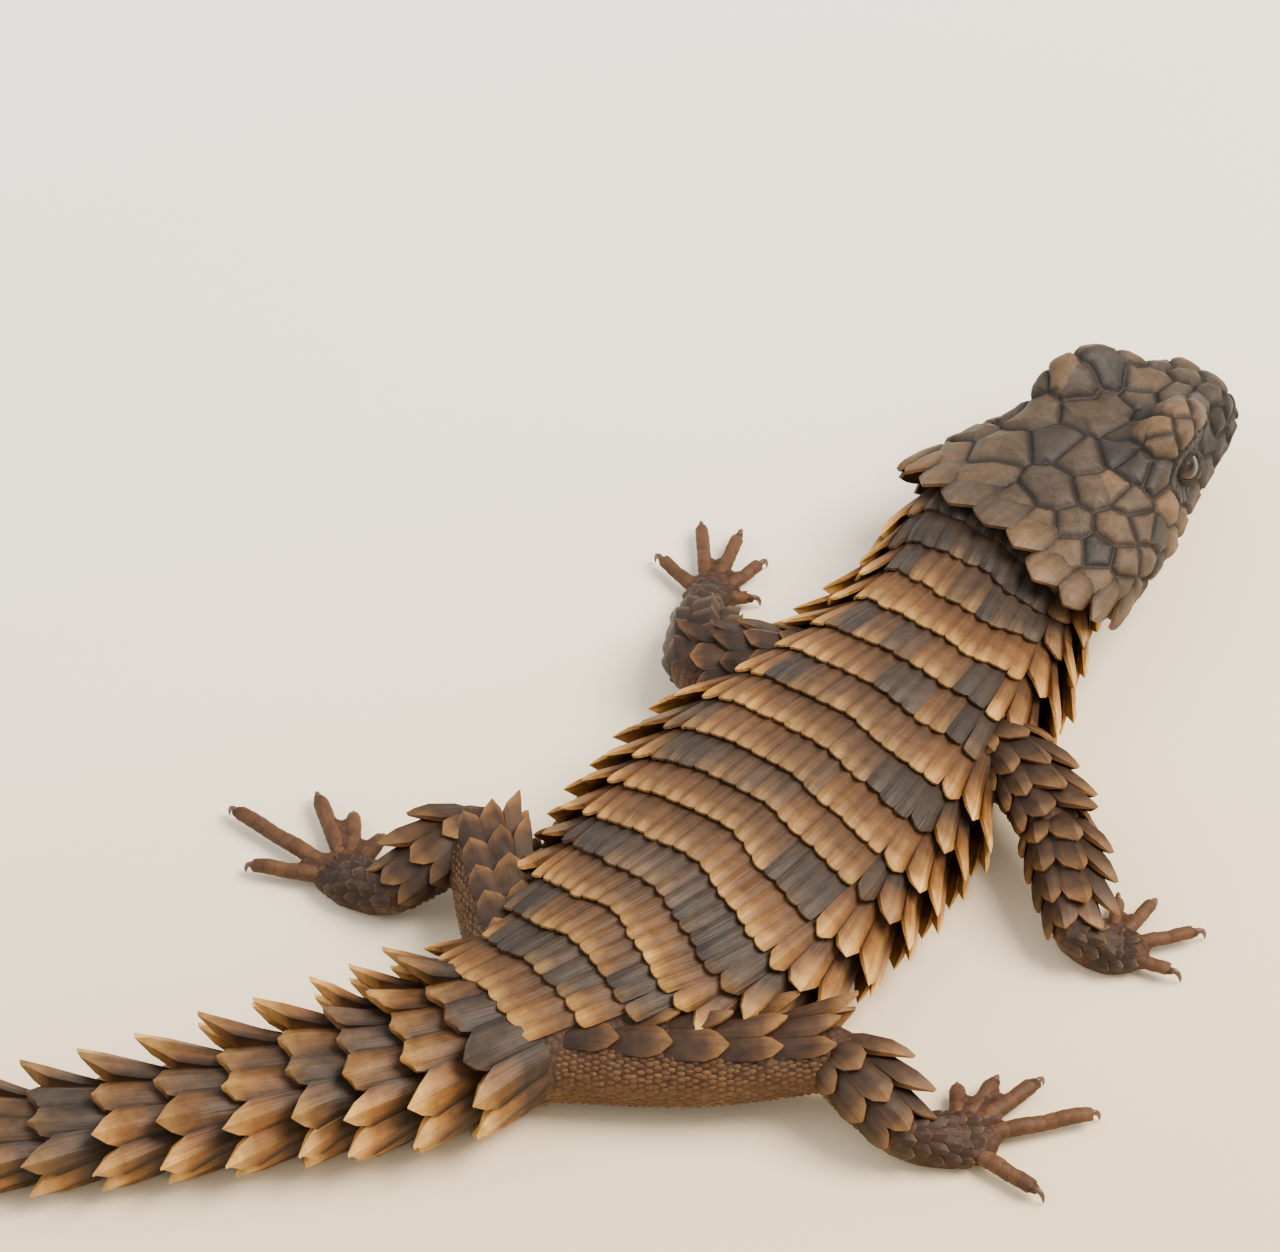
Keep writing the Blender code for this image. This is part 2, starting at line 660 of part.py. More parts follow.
def toe(root, end, radius, height):
    """One toe with its knuckles, and its claw."""
    ahead = Vector((end[0] - root[0], end[1] - root[1], 0))
    length = ahead.length
    ahead.normalize()
    side = Vector((ahead.y, -ahead.x, 0))
    stations = [(0.0, height, 1.1), (0.25, 1.5, 1.0), (0.48, 1.55, 1.12), (0.72, 1.05, 0.92), (0.98, 0.7, 0.75)]
    rings = []
    for share, z, size in stations:
        middle = Vector((root[0], root[1], z)) + ahead * (length * share)
        rings.append([middle + side * math.cos(a) * radius * size + Vector((0, 0, math.sin(a) * radius * size * 0.9))
                      for a in [2 * math.pi * k / 6 for k in range(6)]])
    for share, z, size in ((0.5, 0.78, 0.42), (1.0, 0.25, 0.1)):
        middle = Vector((root[0], root[1], z)) + ahead * (length + CLAW_LENGTH * share)
        rings.append([middle + side * math.cos(a) * 0.75 * size + Vector((0, 0, math.sin(a) * size))
                      for a in [2 * math.pi * k / 6 for k in range(6)]])
    rings = [[Vector((v.x, v.y, max(v.z, 0.0))) for v in ring] for ring in rings]
    return mesh_object("toe", loft(rings))


def build_foot(name, wrist, palm, tips, kind):
    """The palm or sole with five toes, joined into one."""
    wide = 2.4 if kind == "front" else 2.9
    start = Vector(wrist)
    middle = Vector((palm[0], palm[1], 1.35))
    back = Vector((middle.x - start.x, middle.y - start.y, 0)).normalized()
    line = [start - back * 0.8, start.lerp(middle, 0.5) + Vector((0, 0, 0.1)), middle, middle + back * 2.2]
    tube = Tube(line, [(0, 1, 1, -1)])
    length = tube.length
    tube.sizes = np.array([
        (0.0, 1.5, 1.5, -1.5), (0.35 * length, wide * 0.8, 1.6, -2.6), (0.7 * length, wide, 1.35, -1.8),
        (length, wide * 0.7, 0.8, -1.2)])
    rings = []
    for k in range(6):
        s = length * k / 5
        rings.append([tube.point(s, 360 * j / 10) for j in range(10)])
    foot = mesh_object(name, loft(rings))
    toes = []
    across = Vector((back.y, -back.x, 0))
    for tip in tips:
        aim = Vector((tip[0] - middle.x, tip[1] - middle.y, 0)).normalized()
        root = middle + aim * (wide * 0.35) + across * (across.dot(aim) * 0.5)
        toes.append(toe(root, tip, TOE_RADIUS[kind], 1.25))
    combined(foot, toes, "UNION")
    return foot


def build_limb(place, points):
    kind, side = place.split("_")
    turn = 1 if side == "right" else -1
    root, joint, bend, end = [Vector(p) for p in points]
    outer = {"front": 55, "hind": 70}[kind] * turn
    upper_line = [root, joint, bend]
    lower_line = [bend, bend.lerp(end, 0.5) + Vector((0, 0, 0.3)), end]
    upper_rows, lower_rows = (3, 4) if kind == "front" else (4, 3)
    scale = {"front_left": 1.0, "front_right": 1.0, "hind_left": 0.9, "hind_right": 1.2}[place]
    upper_args = (upper_line, UPPER_SIZES[kind], upper_rows, outer, scale, True)
    lower_args = (lower_line, LOWER_SIZES[kind], lower_rows, outer, scale)
    arm, leg, foot_name = {
        "front": ("upper_arm", "forearm", "hand"),
        "hind": ("thigh", "shin", "foot"),
    }[kind]
    knee = UPPER_SIZES[kind][2]
    upper = mesh_object(f"{arm}_{side}", limb_shape(*upper_args, ends=(0, knee)))
    combined(upper, room_at_trunk(kind), "DIFFERENCE")
    lower = mesh_object(f"{leg}_{side}", limb_shape(*lower_args, ends=(0, 0)))
    combined(lower, room_at_trunk(kind) + room_round(upper_args, ends=(0, knee)), "DIFFERENCE")
    foot = build_foot(f"{foot_name}_{side}", points[3], PALMS[place], TOES[place], kind)
    combined(foot, room_round(lower_args), "DIFFERENCE")


COLOURS = {
    "head": (0.20, 0.14, 0.10), "jaw": (0.24, 0.17, 0.11), "eye": (0.02, 0.015, 0.012),
    "neck": (0.30, 0.19, 0.10), "torso": (0.32, 0.20, 0.10), "tail": (0.24, 0.15, 0.09),
    "upper": (0.16, 0.09, 0.05), "forearm": (0.16, 0.09, 0.05), "thigh": (0.18, 0.11, 0.06),
    "shin": (0.16, 0.09, 0.05), "hand": (0.13, 0.07, 0.04), "foot": (0.13, 0.07, 0.04),
}


def main():
    for obj in list(bpy.data.objects):
        bpy.data.objects.remove(obj)
    build_trunk()
    build_head()
    for place, points in LIMBS.items():
        build_limb(place, points)
    for obj in bpy.data.objects:
        kind = obj.name.split("_")[0]
        coloured(obj, f"{obj.name}_skin", COLOURS[kind], 0.25 if kind == "eye" else 0.6)


main()
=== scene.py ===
import math

import bpy
import numpy as np
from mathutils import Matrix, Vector


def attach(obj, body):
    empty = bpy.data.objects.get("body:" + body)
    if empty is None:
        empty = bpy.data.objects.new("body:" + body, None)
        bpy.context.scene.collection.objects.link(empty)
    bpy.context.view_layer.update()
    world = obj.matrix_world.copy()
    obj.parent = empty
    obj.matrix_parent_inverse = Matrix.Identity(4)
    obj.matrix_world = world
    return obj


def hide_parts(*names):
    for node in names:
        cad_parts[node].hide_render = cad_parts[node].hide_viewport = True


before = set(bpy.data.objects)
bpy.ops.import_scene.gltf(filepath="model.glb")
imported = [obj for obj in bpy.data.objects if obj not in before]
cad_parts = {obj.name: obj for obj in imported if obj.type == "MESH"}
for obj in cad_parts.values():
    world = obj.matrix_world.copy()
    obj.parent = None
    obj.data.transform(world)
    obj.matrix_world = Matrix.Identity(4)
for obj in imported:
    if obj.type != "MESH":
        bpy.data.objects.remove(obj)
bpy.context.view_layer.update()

mm = 0.001
middle = np.array([11.95, -14.45, 0.0])  # the middle of the model's box, in the frame of the lines below
draw = np.random.default_rng(7)


def linear(hexColour):
    # an sRGB hex value turned to linear light
    values = [int(hexColour[i:i + 2], 16) / 255 for i in (1, 3, 5)]
    return np.array([v / 12.92 if v <= 0.04045 else ((v + 0.055) / 1.055) ** 2.4 for v in values])


def ramp(value, low, high):
    # 0 below low, 1 above high and smooth between
    t = np.clip((np.asarray(value, float) - low) / (high - low), 0, 1)
    return t * t * (3 - 2 * t)


def mix(a, b, share):
    return a + (b - a) * share


def splineAt(knots, values, at):
    # a smooth curve through values at knots
    at = np.clip(np.asarray(at, float), knots[0], knots[-1])
    last = len(knots) - 1
    i = np.clip(np.searchsorted(knots, at, side="right") - 1, 0, last - 1)
    span = knots[i + 1] - knots[i]
    t = ((at - knots[i]) / span)[..., None]

    def slope(k):
        low, high = np.maximum(k - 1, 0), np.minimum(k + 1, last)
        return (values[high] - values[low]) / (knots[high] - knots[low])[..., None]

    start, end = slope(i) * span[..., None], slope(i + 1) * span[..., None]
    return ((2 * t**3 - 3 * t**2 + 1) * values[i] + (t**3 - 2 * t**2 + t) * start
            + (3 * t**2 - 2 * t**3) * values[i + 1] + (t**3 - t**2) * end)


def unit(v):
    return v / np.maximum(np.linalg.norm(v, axis=-1, keepdims=True), 1e-9)


class BodyTube:
    # an oval section carried along a smooth line; angle 0 is on top and 90 on the right side
    def __init__(self, line, sizes, power=2.25, roll=0.0):
        self.line = np.array([tuple(p) + (0.0,) * (3 - len(p)) for p in line], float)
        steps = np.linalg.norm(np.diff(self.line, axis=0), axis=1)
        self.knots = np.concatenate([[0.0], np.cumsum(steps)])
        self.sizes = np.array(sizes, float)
        self.power = power
        self.roll = math.radians(roll)
        self.length = float(self.knots[-1])

    def headingAt(self, s):
        s = np.clip(s, 0.2, self.length - 0.2)
        return unit(splineAt(self.knots, self.line, s + 0.2) - splineAt(self.knots, self.line, s - 0.2))

    def centreAt(self, s):
        s = np.asarray(s, float)
        beyond = np.minimum(s, 0) + np.maximum(s - self.length, 0)
        return splineAt(self.knots, self.line, s) + self.headingAt(s) * beyond[..., None]

    def frameAt(self, s):
        heading = self.headingAt(s)
        right = unit(np.cross(np.array([0.0, 0.0, 1.0]), heading))
        right = right * math.cos(self.roll) + np.cross(heading, right) * math.sin(self.roll)
        return heading, right, np.cross(heading, right)

    def sizeAt(self, s):
        # half width, top and underside
        return splineAt(self.sizes[:, 0], self.sizes[:, 1:], s)

    def radiusAt(self, s):
        return float(self.sizeAt(s)[0])

    def pointAt(self, s, angle, lift=0.0, out=0.0):
        s, angle, lift, out = np.broadcast_arrays(*[np.asarray(v, float) for v in (s, angle, lift, out)])
        _, right, up = self.frameAt(s)
        half, top, bottom = np.moveaxis(self.sizeAt(s), -1, 0)
        tall = (top - bottom) / 2
        a = np.radians(angle)
        bend = 2 / self.power
        across = np.sign(np.sin(a)) * np.abs(np.sin(a)) ** bend
        high = np.sign(np.cos(a)) * np.abs(np.cos(a)) ** bend
        normal = unit(right * (across / half)[..., None] + up * (high / tall)[..., None])
        place = self.centreAt(s) + right * (across * half)[..., None]
        place += up * ((top + bottom) / 2 + high * tall)[..., None]
        return place + normal * lift[..., None] + right * (out * np.sign(np.sin(a)))[..., None]


def addObject(name, data):
    obj = bpy.data.objects.new(name, data)
    bpy.context.scene.collection.objects.link(obj)
    return obj


def smoothFaces(mesh):
    mesh.polygons.foreach_set("use_smooth", np.ones(len(mesh.polygons), bool))


def meshPiece(name, verts, faces):
    # an object from points in millimetres and faces
    mesh = bpy.data.meshes.new(name)
    mesh.from_pydata(((verts - middle) * mm).tolist(), [], [tuple(int(i) for i in f) for f in faces])
    mesh.update()
    smoothFaces(mesh)
    return addObject(name, mesh)


def only(obj):
    bpy.ops.object.select_all(action="DESELECT")
    obj.select_set(True)
    bpy.context.view_layer.objects.active = obj


def applyModifier(obj, kind, **settings):
    only(obj)
    modifier = obj.modifiers.new(kind.title(), kind)
    for key, value in settings.items():
        setattr(modifier, key, value)
    bpy.ops.object.modifier_apply(modifier=modifier.name)


def paint(obj, name, colours):
    # a colour for each point of a mesh
    layer = obj.data.color_attributes.new(name, "FLOAT_COLOR", "POINT")
    full = np.ones((len(obj.data.vertices), 4), np.float32)
    full[:, :3] = colours
    layer.data.foreach_set("color", full.ravel())


def ringFaces(rings, count):
    # faces between rings of points, with both ends closed
    faces = []
    for r in range(rings - 1):
        for j in range(count):
            a, b = r * count + j, r * count + (j + 1) % count
            faces.append((a, b, b + count, a + count))
    return faces + [tuple(range(count))[::-1], tuple((rings - 1) * count + j for j in range(count))]


def facingOut(obj):
    only(obj)
    bpy.ops.object.mode_set(mode="EDIT")
    bpy.ops.mesh.select_all(action="SELECT")
    bpy.ops.mesh.normals_make_consistent(inside=False)
    bpy.ops.object.mode_set(mode="OBJECT")


trunk = {
    # over the floor from the snout to the tail tip
    "line": [
        (19.0, 57.6), (18.2, 52.0), (17.4, 46.0), (17.0, 38.0), (17.2, 31.0), (18.2, 25.5), (19.8, 20.0),
        (21.2, 13.0), (21.7, 6.0), (22.1, -2.0), (22.6, -10.0), (23.0, -17.0), (22.8, -23.0),
        (21.6, -29.0), (19.8, -36.0), (17.3, -42.6), (13.9, -48.8), (10.5, -53.3), (7.6, -57.4),
        (4.4, -61.4), (-1.7, -68.8), (-5.2, -72.4), (-9.9, -76.4), (-15.4, -79.8), (-21.6, -82.1),
        (-28.5, -83.2), (-35.5, -83.0),
    ],
    # place, half width, top and underside
    "sizes": [
        (31.0, 9.4, 11.5, 2.3), (36.0, 9.2, 11.2, 1.2), (42.0, 9.7, 11.2, 0.1), (49.0, 11.0, 11.6, -0.4),
        (57.0, 12.6, 11.9, -0.5), (66.0, 13.5, 12.0, -0.5), (75.0, 13.4, 12.0, -0.5),
        (83.0, 12.1, 11.7, -0.5), (90.0, 9.8, 11.0, -0.4), (96.0, 7.9, 10.0, -0.4),
        (102.0, 6.6, 9.0, -0.3), (109.0, 5.6, 8.0, -0.3), (117.0, 4.7, 7.1, -0.25),
        (127.0, 4.0, 6.2, -0.2), (138.0, 3.3, 5.3, -0.2), (149.0, 2.6, 4.4, -0.15),
        (160.0, 1.8, 3.4, -0.1), (168.0, 1.2, 2.5, -0.1), (173.5, 0.8, 1.8, -0.1),
    ],
    "neckEdges": [26.4, 30.6, 34.2, 37.7, 41.4, 45.2],
    "vent": 98.7,
    "torsoRows": 13,
    "tailEdges": [98.7, 102.8, 107.1, 111.3, 115.7, 120.8, 126.0, 131.1, 136.2, 141.1, 145.9, 150.5, 154.9, 159.0,
                  162.8, 166.3, 169.4, 172.2],
}
head = {
    "line": [(20.0, 56.6), (19.7, 52.0), (19.3, 46.0), (19.0, 40.0), (18.8, 33.0), (18.6, 26.0), (18.4, 20.0)],
    "roll": 6.0,
    "sizes": [
        (0.0, 2.0, 8.4, 5.2), (1.2, 3.4, 9.9, 4.0), (3.5, 4.8, 11.1, 3.4), (7.0, 6.2, 12.1, 3.1),
        (11.0, 7.7, 12.8, 2.9), (15.0, 9.1, 13.2, 2.8), (20.0, 10.6, 13.5, 2.7), (25.0, 11.8, 13.4, 2.6),
        (29.0, 12.1, 13.0, 2.5), (32.0, 12.0, 12.7, 2.6), (37.0, 11.7, 12.4, 2.6),
    ],
    # place, angle, spread along, spread round, height and fullness of each pair of swellings or hollows
    "relief": [
        (11.7, 37, 4.9, 17, 3.45, 3.0), (12.4, 84, 3.0, 14, -0.7, 2.0), (2.8, 42, 1.5, 22, 0.55, 2.0),
        (7.4, 72, 2.0, 15, -0.45, 2.0), (10.0, 0, 3.4, 11, -0.25, 2.0), (24.0, 74, 4.5, 18, 0.6, 2.0),
        (19.0, 100, 5.0, 24, 0.55, 2.0), (26.5, 108, 3.6, 13, 0.5, 2.0),
    ],
    "skew": 1.2,  # how far the right side's features lie behind the left's, each way
    "eyePlace": (12.1, 6.1, 9.6),
    "eyeRadius": 2.05,
    "eyeOpening": (1.42, 0.78),
    "mouth": [(-3.0, 6.2), (2.0, 6.1), (8.0, 5.7), (14.0, 5.5), (20.5, 6.1)],
}
limbs = {
    "frontRight": {
        "line": [(27.0, 9.8, 5.6), (33.6, 8.4, 6.4), (39.9, 5.4, 5.8), (47.0, -0.6, 3.0)],
        "toes": [(45.2, 3.4), (46.4, 6.2), (48.9, 7.6), (53.6, 7.4), (54.6, 2.6)], "palm": (49.6, 1.2),
    },
    "frontLeft": {
        "line": [(17.0, 8.2, 5.6), (11.6, 5.4, 6.2), (5.6, 1.0, 5.4), (0.0, 8.0, 3.0)],
        "toes": [(0.9, 14.1), (-1.2, 18.0), (-5.0, 19.6), (-8.2, 18.2), (-8.4, 12.8)], "palm": (-1.8, 11.6),
    },
    "hindRight": {
        "line": [(22.6, -38.2, 4.4), (33.2, -31.9, 4.8), (41.2, -25.3, 5.4), (49.2, -26.4, 2.8)],
        "toes": [(48.8, -18.6), (50.6, -16.0), (53.3, -13.9), (58.6, -13.8), (60.0, -22.9)], "palm": (52.4, -22.8),
    },
    "hindLeft": {
        "line": [(17.6, -34.4, 4.4), (10.2, -29.8, 5.0), (3.7, -25.2, 5.6), (1.0, -33.0, 2.8)],
        "toes": [(-4.8, -28.0), (-8.2, -27.6), (-12.0, -27.8), (-16.3, -33.4), (-10.9, -37.0)], "palm": (-3.8, -33.2),
    },
}
limbSizes = {
    "front": {"upper": (3.1, 2.9, 2.5), "lower": (2.5, 2.4, 1.8), "toe": 0.6, "palm": 2.05},
    "hind": {"upper": (4.5, 3.7, 2.7), "lower": (2.6, 2.6, 1.9), "toe": 0.7, "palm": 2.4},
    "flat": 0.92,  # height to width
}


def kindOf(name):
    return "front" if name.startswith("front") else "hind"


def limbTube(points, radii):
    tube = BodyTube(points, [(0, 1, 1, -1)])
    places = [tube.length * k / (len(radii) - 1) for k in range(len(radii))]
    tube.sizes = np.array([(s, r, r * limbSizes["flat"], -r * limbSizes["flat"]) for s, r in zip(places, radii)])
    return tube


trunkTube = BodyTube(trunk["line"], trunk["sizes"])
headTube = BodyTube(head["line"], head["sizes"], roll=head["roll"])
thighs = [limbTube(limb["line"][:3], limbSizes[kindOf(name)]["upper"]) for name, limb in limbs.items()]


def signedAngle(angle):
    return (angle + 180) % 360 - 180


def headPoint(s, angle, lift=0.0, out=0.0):
    # a point of the head, with its swellings and hollows
    s, angle = np.broadcast_arrays(np.asarray(s, float), np.asarray(angle, float))
    turn = signedAngle(angle)
    total = np.zeros(s.shape)
    for place, at, along, around, height, full in head["relief"]:
        for side in (-1, 1):
            far = place + side * head["skew"] * math.sin(math.radians(at))
            total += height * np.exp(-np.abs((s - far) / along) ** full - np.abs((turn - side * at) / around) ** full)
    return headTube.pointAt(s, angle, lift + total, out)


# groove is a painted shade colour, standing for the shadow in crevices, at the roots of scales and in hollows
hues = {
    "groove": linear("#3b2b20"), "charcoal": linear("#2a241f"), "greyBrown": linear("#40362e"),
    "brown": linear("#493423"), "tan": linear("#634223"), "gold": linear("#865620"), "cream": linear("#d4a357"),
    "orange": linear("#84501f"), "taupe": linear("#3f352c"), "headTan": linear("#5e4933"),
    "plateGrey": linear("#322f2d"), "legDark": linear("#271b13"), "legBrown": linear("#3c281b"),
    "rust": linear("#4b2f1e"), "ochre": linear("#5c432a"), "belly": linear("#8a7048"), "legTan": linear("#7d5a33"),
}

# The rows of the back, each by the place of its trailing edge: how far it bends back at bendAngles, and
# its markings as angle and tone, where 0 is charcoal, 0.5 brown and 1 pale tan
bendAngles = np.array([-100, -75, -60, -40, -20, 0, 20, 40, 60, 75, 100], float)
rowMarks = [
    (30.6, (0, -0.8, -2.0, -3.0, -2.4, -1.6, -0.2, 0.0, -0.5, -0.4, 0), [(0, 0.1)]),
    (37.7, (0, -1.4, -2.6, -3.2, -2.4, -1.5, 0.0, 0.2, -0.5, -0.6, 0), [(-66, 0.5), (-56, 0.08), (70, 0.1), (84, 0.5)]),
    (41.4, (0, -1.4, -2.6, -3.1, -1.8, -0.4, 0.2, -0.6, -1.4, -1.0, 0),
     [(-60, 0.85), (-50, 0.8), (-47, 0.1), (-29, 0.1), (-26, 0.55), (-2, 0.55), (3, 0.28), (9, 0.5), (13, 0.15),
      (62, 0.1), (70, 0.7)]),
    (45.2, (0, -1.0, -2.0, -2.4, -0.9, -0.2, 0.4, -0.4, -1.2, -1.0, 0),
     [(-80, 0.8), (-30, 0.88), (0, 0.74), (12, 0.85), (80, 0.85)]),
    (49.3, (0, -0.3, -0.6, -0.3, 0, 0, 0.3, -0.4, -0.9, -0.6, 0),
     [(-80, 0.75), (-44, 0.85), (-38, 0.14), (-27, 0.16), (-24, 0.52), (-12, 0.5), (-9, 0.28), (-2, 0.3), (3, 0.58),
      (25, 0.52),
      (28, 0.12), (43, 0.12), (47, 0.92), (66, 0.85), (76, 0.6)]),
    (53.4, (0, -0.3, -0.7, -0.6, 0.1, 0.1, 0.8, 0.2, 0, 0, 0),
     [(-80, 0.5), (-60, 0.8), (-24, 0.82), (-18, 0.58), (0, 0.55), (3, 0.2), (15, 0.18), (18, 0.6), (33, 0.56),
      (36, 0.12), (62, 0.12), (72, 0.35)]),
    (57.5, (0, -0.2, -0.4, -0.2, 0.3, 0.2, 1.2, 0.9, 0.6, 0.3, 0),
     [(-80, 0.8), (-44, 0.8), (-38, 0.14), (-23, 0.15), (-20, 0.5), (0, 0.48), (26, 0.55), (34, 0.86), (80, 0.9)]),
    (61.7, (0, -0.3, -0.6, -0.6, 0, 0.2, 1.2, 1.7, 1.2, 0.5, 0),
     [(-80, 0.9), (-28, 0.86), (-22, 0.58), (0, 0.52), (24, 0.42), (28, 0.1), (50, 0.1), (54, 0.24), (80, 0.3)]),
    (65.8, (0, 0.1, 0.2, -0.2, -0.1, 0.3, 1.4, 1.9, 2.0, 1.0, 0),
     [(-80, 0.2), (-46, 0.24), (-40, 0.72), (-22, 0.66), (-18, 0.5), (12, 0.46), (18, 0.76), (90, 0.85)]),
    (69.9, (0, 0.1, 0.2, 0, -0.1, 0.1, 1.2, 1.9, 1.8, 0.9, 0),
     [(-80, 0.8), (-48, 0.75), (-43, 0.12), (-25, 0.14), (-20, 0.46), (0, 0.38), (8, 0.4), (12, 0.62), (48, 0.66),
      (52, 0.14), (70, 0.16), (76, 0.78)]),
    (74.0, (0, -0.1, -0.3, 0.1, 0.1, 0, 1.7, 2.3, 2.4, 1.2, 0),
     [(-80, 0.3), (-66, 0.4), (-60, 0.86), (-40, 0.8), (-36, 0.62), (0, 0.52), (20, 0.5), (24, 0.1), (48, 0.1),
      (53, 0.84), (80, 0.92)]),
    (78.1, (0, 0.5, 1.0, 0.9, 0.7, 0.2, 1.6, 2.1, 2.4, 1.0, 0),
     [(-80, 0.9), (-42, 0.88), (-36, 0.6), (0, 0.52), (6, 0.66), (26, 0.74), (30, 0.92), (62, 0.9), (68, 0.45),
      (90, 0.4)]),
    (82.2, (0, 1.0, 1.8, 1.8, 1.4, 0.4, 1.1, 1.7, 1.4, 0.7, 0),
     [(-80, 0.14), (-26, 0.12), (-20, 0.34), (0, 0.36), (8, 0.3), (12, 0.14), (62, 0.1), (80, 0.4)]),
    (86.4, (0, 1.0, 1.8, 1.7, 1.5, 0.3, 1.0, 1.4, 1.0, 0.5, 0),
     [(-80, 0.86), (-44, 0.84), (-38, 0.62), (0, 0.5), (5, 0.7), (20, 0.78), (30, 0.92), (56, 0.9), (70, 0.6)]),
    (90.5, (0, 1.0, 1.9, 1.9, 1.7, 0.3, 0.5, 0.5, 0.2, 0, 0),
     [(-80, 0.16), (-32, 0.14), (-26, 0.6), (20, 0.56), (25, 0.16), (60, 0.2), (80, 0.5)]),
    (94.6, (0, 0.6, 1.2, 1.2, 1.0, 0.1, -0.4, -0.4, -0.6, -0.3, 0),
     [(-80, 0.8), (-36, 0.75), (-31, 0.12), (-8, 0.14), (0, 0.3), (28, 0.2), (33, 0.95), (90, 0.9)]),
    (98.7, (0, 0.7, 1.4, 1.3, 1.2, 0.1, -0.2, -0.8, -0.6, -0.3, 0),
     [(-80, 0.8), (-22, 0.86), (-16, 0.66), (0, 0.6), (12, 0.45), (16, 0.86), (50, 0.88), (60, 0.6), (90, 0.65)]),
    (102.8, (0, 0.5, 1.0, 0.9, 0.8, 0.2, 0, -0.2, 0, 0, 0),
     [(-80, 0.3), (-22, 0.2), (-17, 0.6), (-7, 0.6), (-2, 0.3), (8, 0.28), (60, 0.2), (68, 0.5), (100, 0.55)]),
    (107.1, (0, 0.3, 0.7, 0.6, 0.3, -0.1, -0.2, -0.4, 0, 0, 0),
     [(-90, 0.75), (-18, 0.82), (-8, 0.62), (6, 0.6), (16, 0.84), (54, 0.86), (62, 0.5), (100, 0.5)]),
    (111.3, (0, 0.2, 0.4, 0.3, 0.2, 0, -0.1, -0.2, 0, 0, 0),
     [(-90, 0.7), (-30, 0.8), (-25, 0.36), (0, 0.36), (6, 0.66), (36, 0.62), (42, 0.8), (54, 0.74), (62, 0.4),
      (100, 0.45)]),
    (115.7, (0,) * 11, [(-90, 0.7), (-14, 0.74), (-6, 0.3), (56, 0.26), (64, 0.6), (100, 0.55)]),
    (120.8, (0,) * 11, [(-90, 0.6), (-30, 0.5), (0, 0.55), (12, 0.82), (48, 0.72), (80, 0.45), (100, 0.4)]),
    (126.0, (0,) * 11, [(-90, 0.6), (-40, 0.7), (-8, 0.62), (2, 0.34), (28, 0.3), (34, 0.6), (56, 0.55), (64, 0.36),
                        (100, 0.4)]),
    (131.1, (0,) * 11, [(-90, 0.35), (-20, 0.3), (0, 0.52), (40, 0.6), (66, 0.5), (80, 0.3), (100, 0.35)]),
    (136.2, (0,) * 11, [(-90, 0.42), (-20, 0.22), (60, 0.14), (100, 0.3)]),
    (174.0, (0,) * 11, [(-100, 0.32), (-40, 0.26), (0, 0.3), (60, 0.26), (100, 0.34)]),
]
rowEnds = np.array([r[0] for r in rowMarks])
rowBends = np.array([r[1] for r in rowMarks], float)
plainFrom = 138  # past this row of the tail the markings blur


def rowBend(s, angle):
    # how far back the rows lie at a place and angle
    s, angle = np.broadcast_arrays(np.asarray(s, float), np.asarray(angle, float))
    turn = signedAngle(angle)
    at = np.clip(s, rowEnds[0], rowEnds[-1])
    i = np.clip(np.searchsorted(rowEnds, at, side="right") - 1, 0, len(rowEnds) - 2)
    share = (at - rowEnds[i]) / (rowEnds[i + 1] - rowEnds[i])
    j = np.clip(np.searchsorted(bendAngles, turn, side="right") - 1, 0, len(bendAngles) - 2)
    across = ramp(turn, bendAngles[j], bendAngles[j + 1])
    before, after = [mix(rowBends[k, j], rowBends[k, j + 1], across) for k in (i, i + 1)]
    return mix(before, after, share)


def trunkPlace(s, angle, lift=0.0, out=0.0):
    return trunkTube.pointAt(s + rowBend(s, angle), angle, lift, out)


def bodyTone(end, angle):
    # the tone of the scales of the row that ends here
    k = int(np.argmin(np.abs(rowEnds - end))) if end < plainFrom else len(rowMarks) - 1
    tone = np.interp(angle, *zip(*rowMarks[k][2]))
    if end >= plainFrom:
        tone = tone + 0.22 * np.sin(end * 1.3) * np.cos(np.radians(angle) + end * 0.4)
    return tone


def toneColour(tone):
    tone = np.clip(tone, 0, 1)[..., None]
    dark = mix(hues["charcoal"], hues["greyBrown"], np.clip(tone / 0.35, 0, 1))
    warm = mix(hues["brown"], hues["tan"], np.clip((tone - 0.45) / 0.45, 0, 1))
    return mix(dark, warm, ramp(tone, 0.28, 0.55))


# how a scale's faces share its patch of the bake map: start and length of its top and of its underside, and
# how much smaller the rim lies
patchSplit = {"top": (0.22, 0.76), "under": (0.02, 0.16), "rim": 0.94}


def shapeIn(obj, chosen, move, size=(1, 1, 1)):
    # sizes and moves some points of a mesh in edit mode
    for part in (*obj.data.edges, *obj.data.polygons):
        part.select = False
    for vert in obj.data.vertices:
        vert.select = vert.index in chosen
    bpy.ops.object.mode_set(mode="EDIT")
    if size != (1, 1, 1):
        bpy.ops.transform.resize(value=size, center_override=(0, 0, 0))
    if move != (0, 0, 0):
        bpy.ops.transform.translate(value=move)
    bpy.ops.object.mode_set(mode="OBJECT")


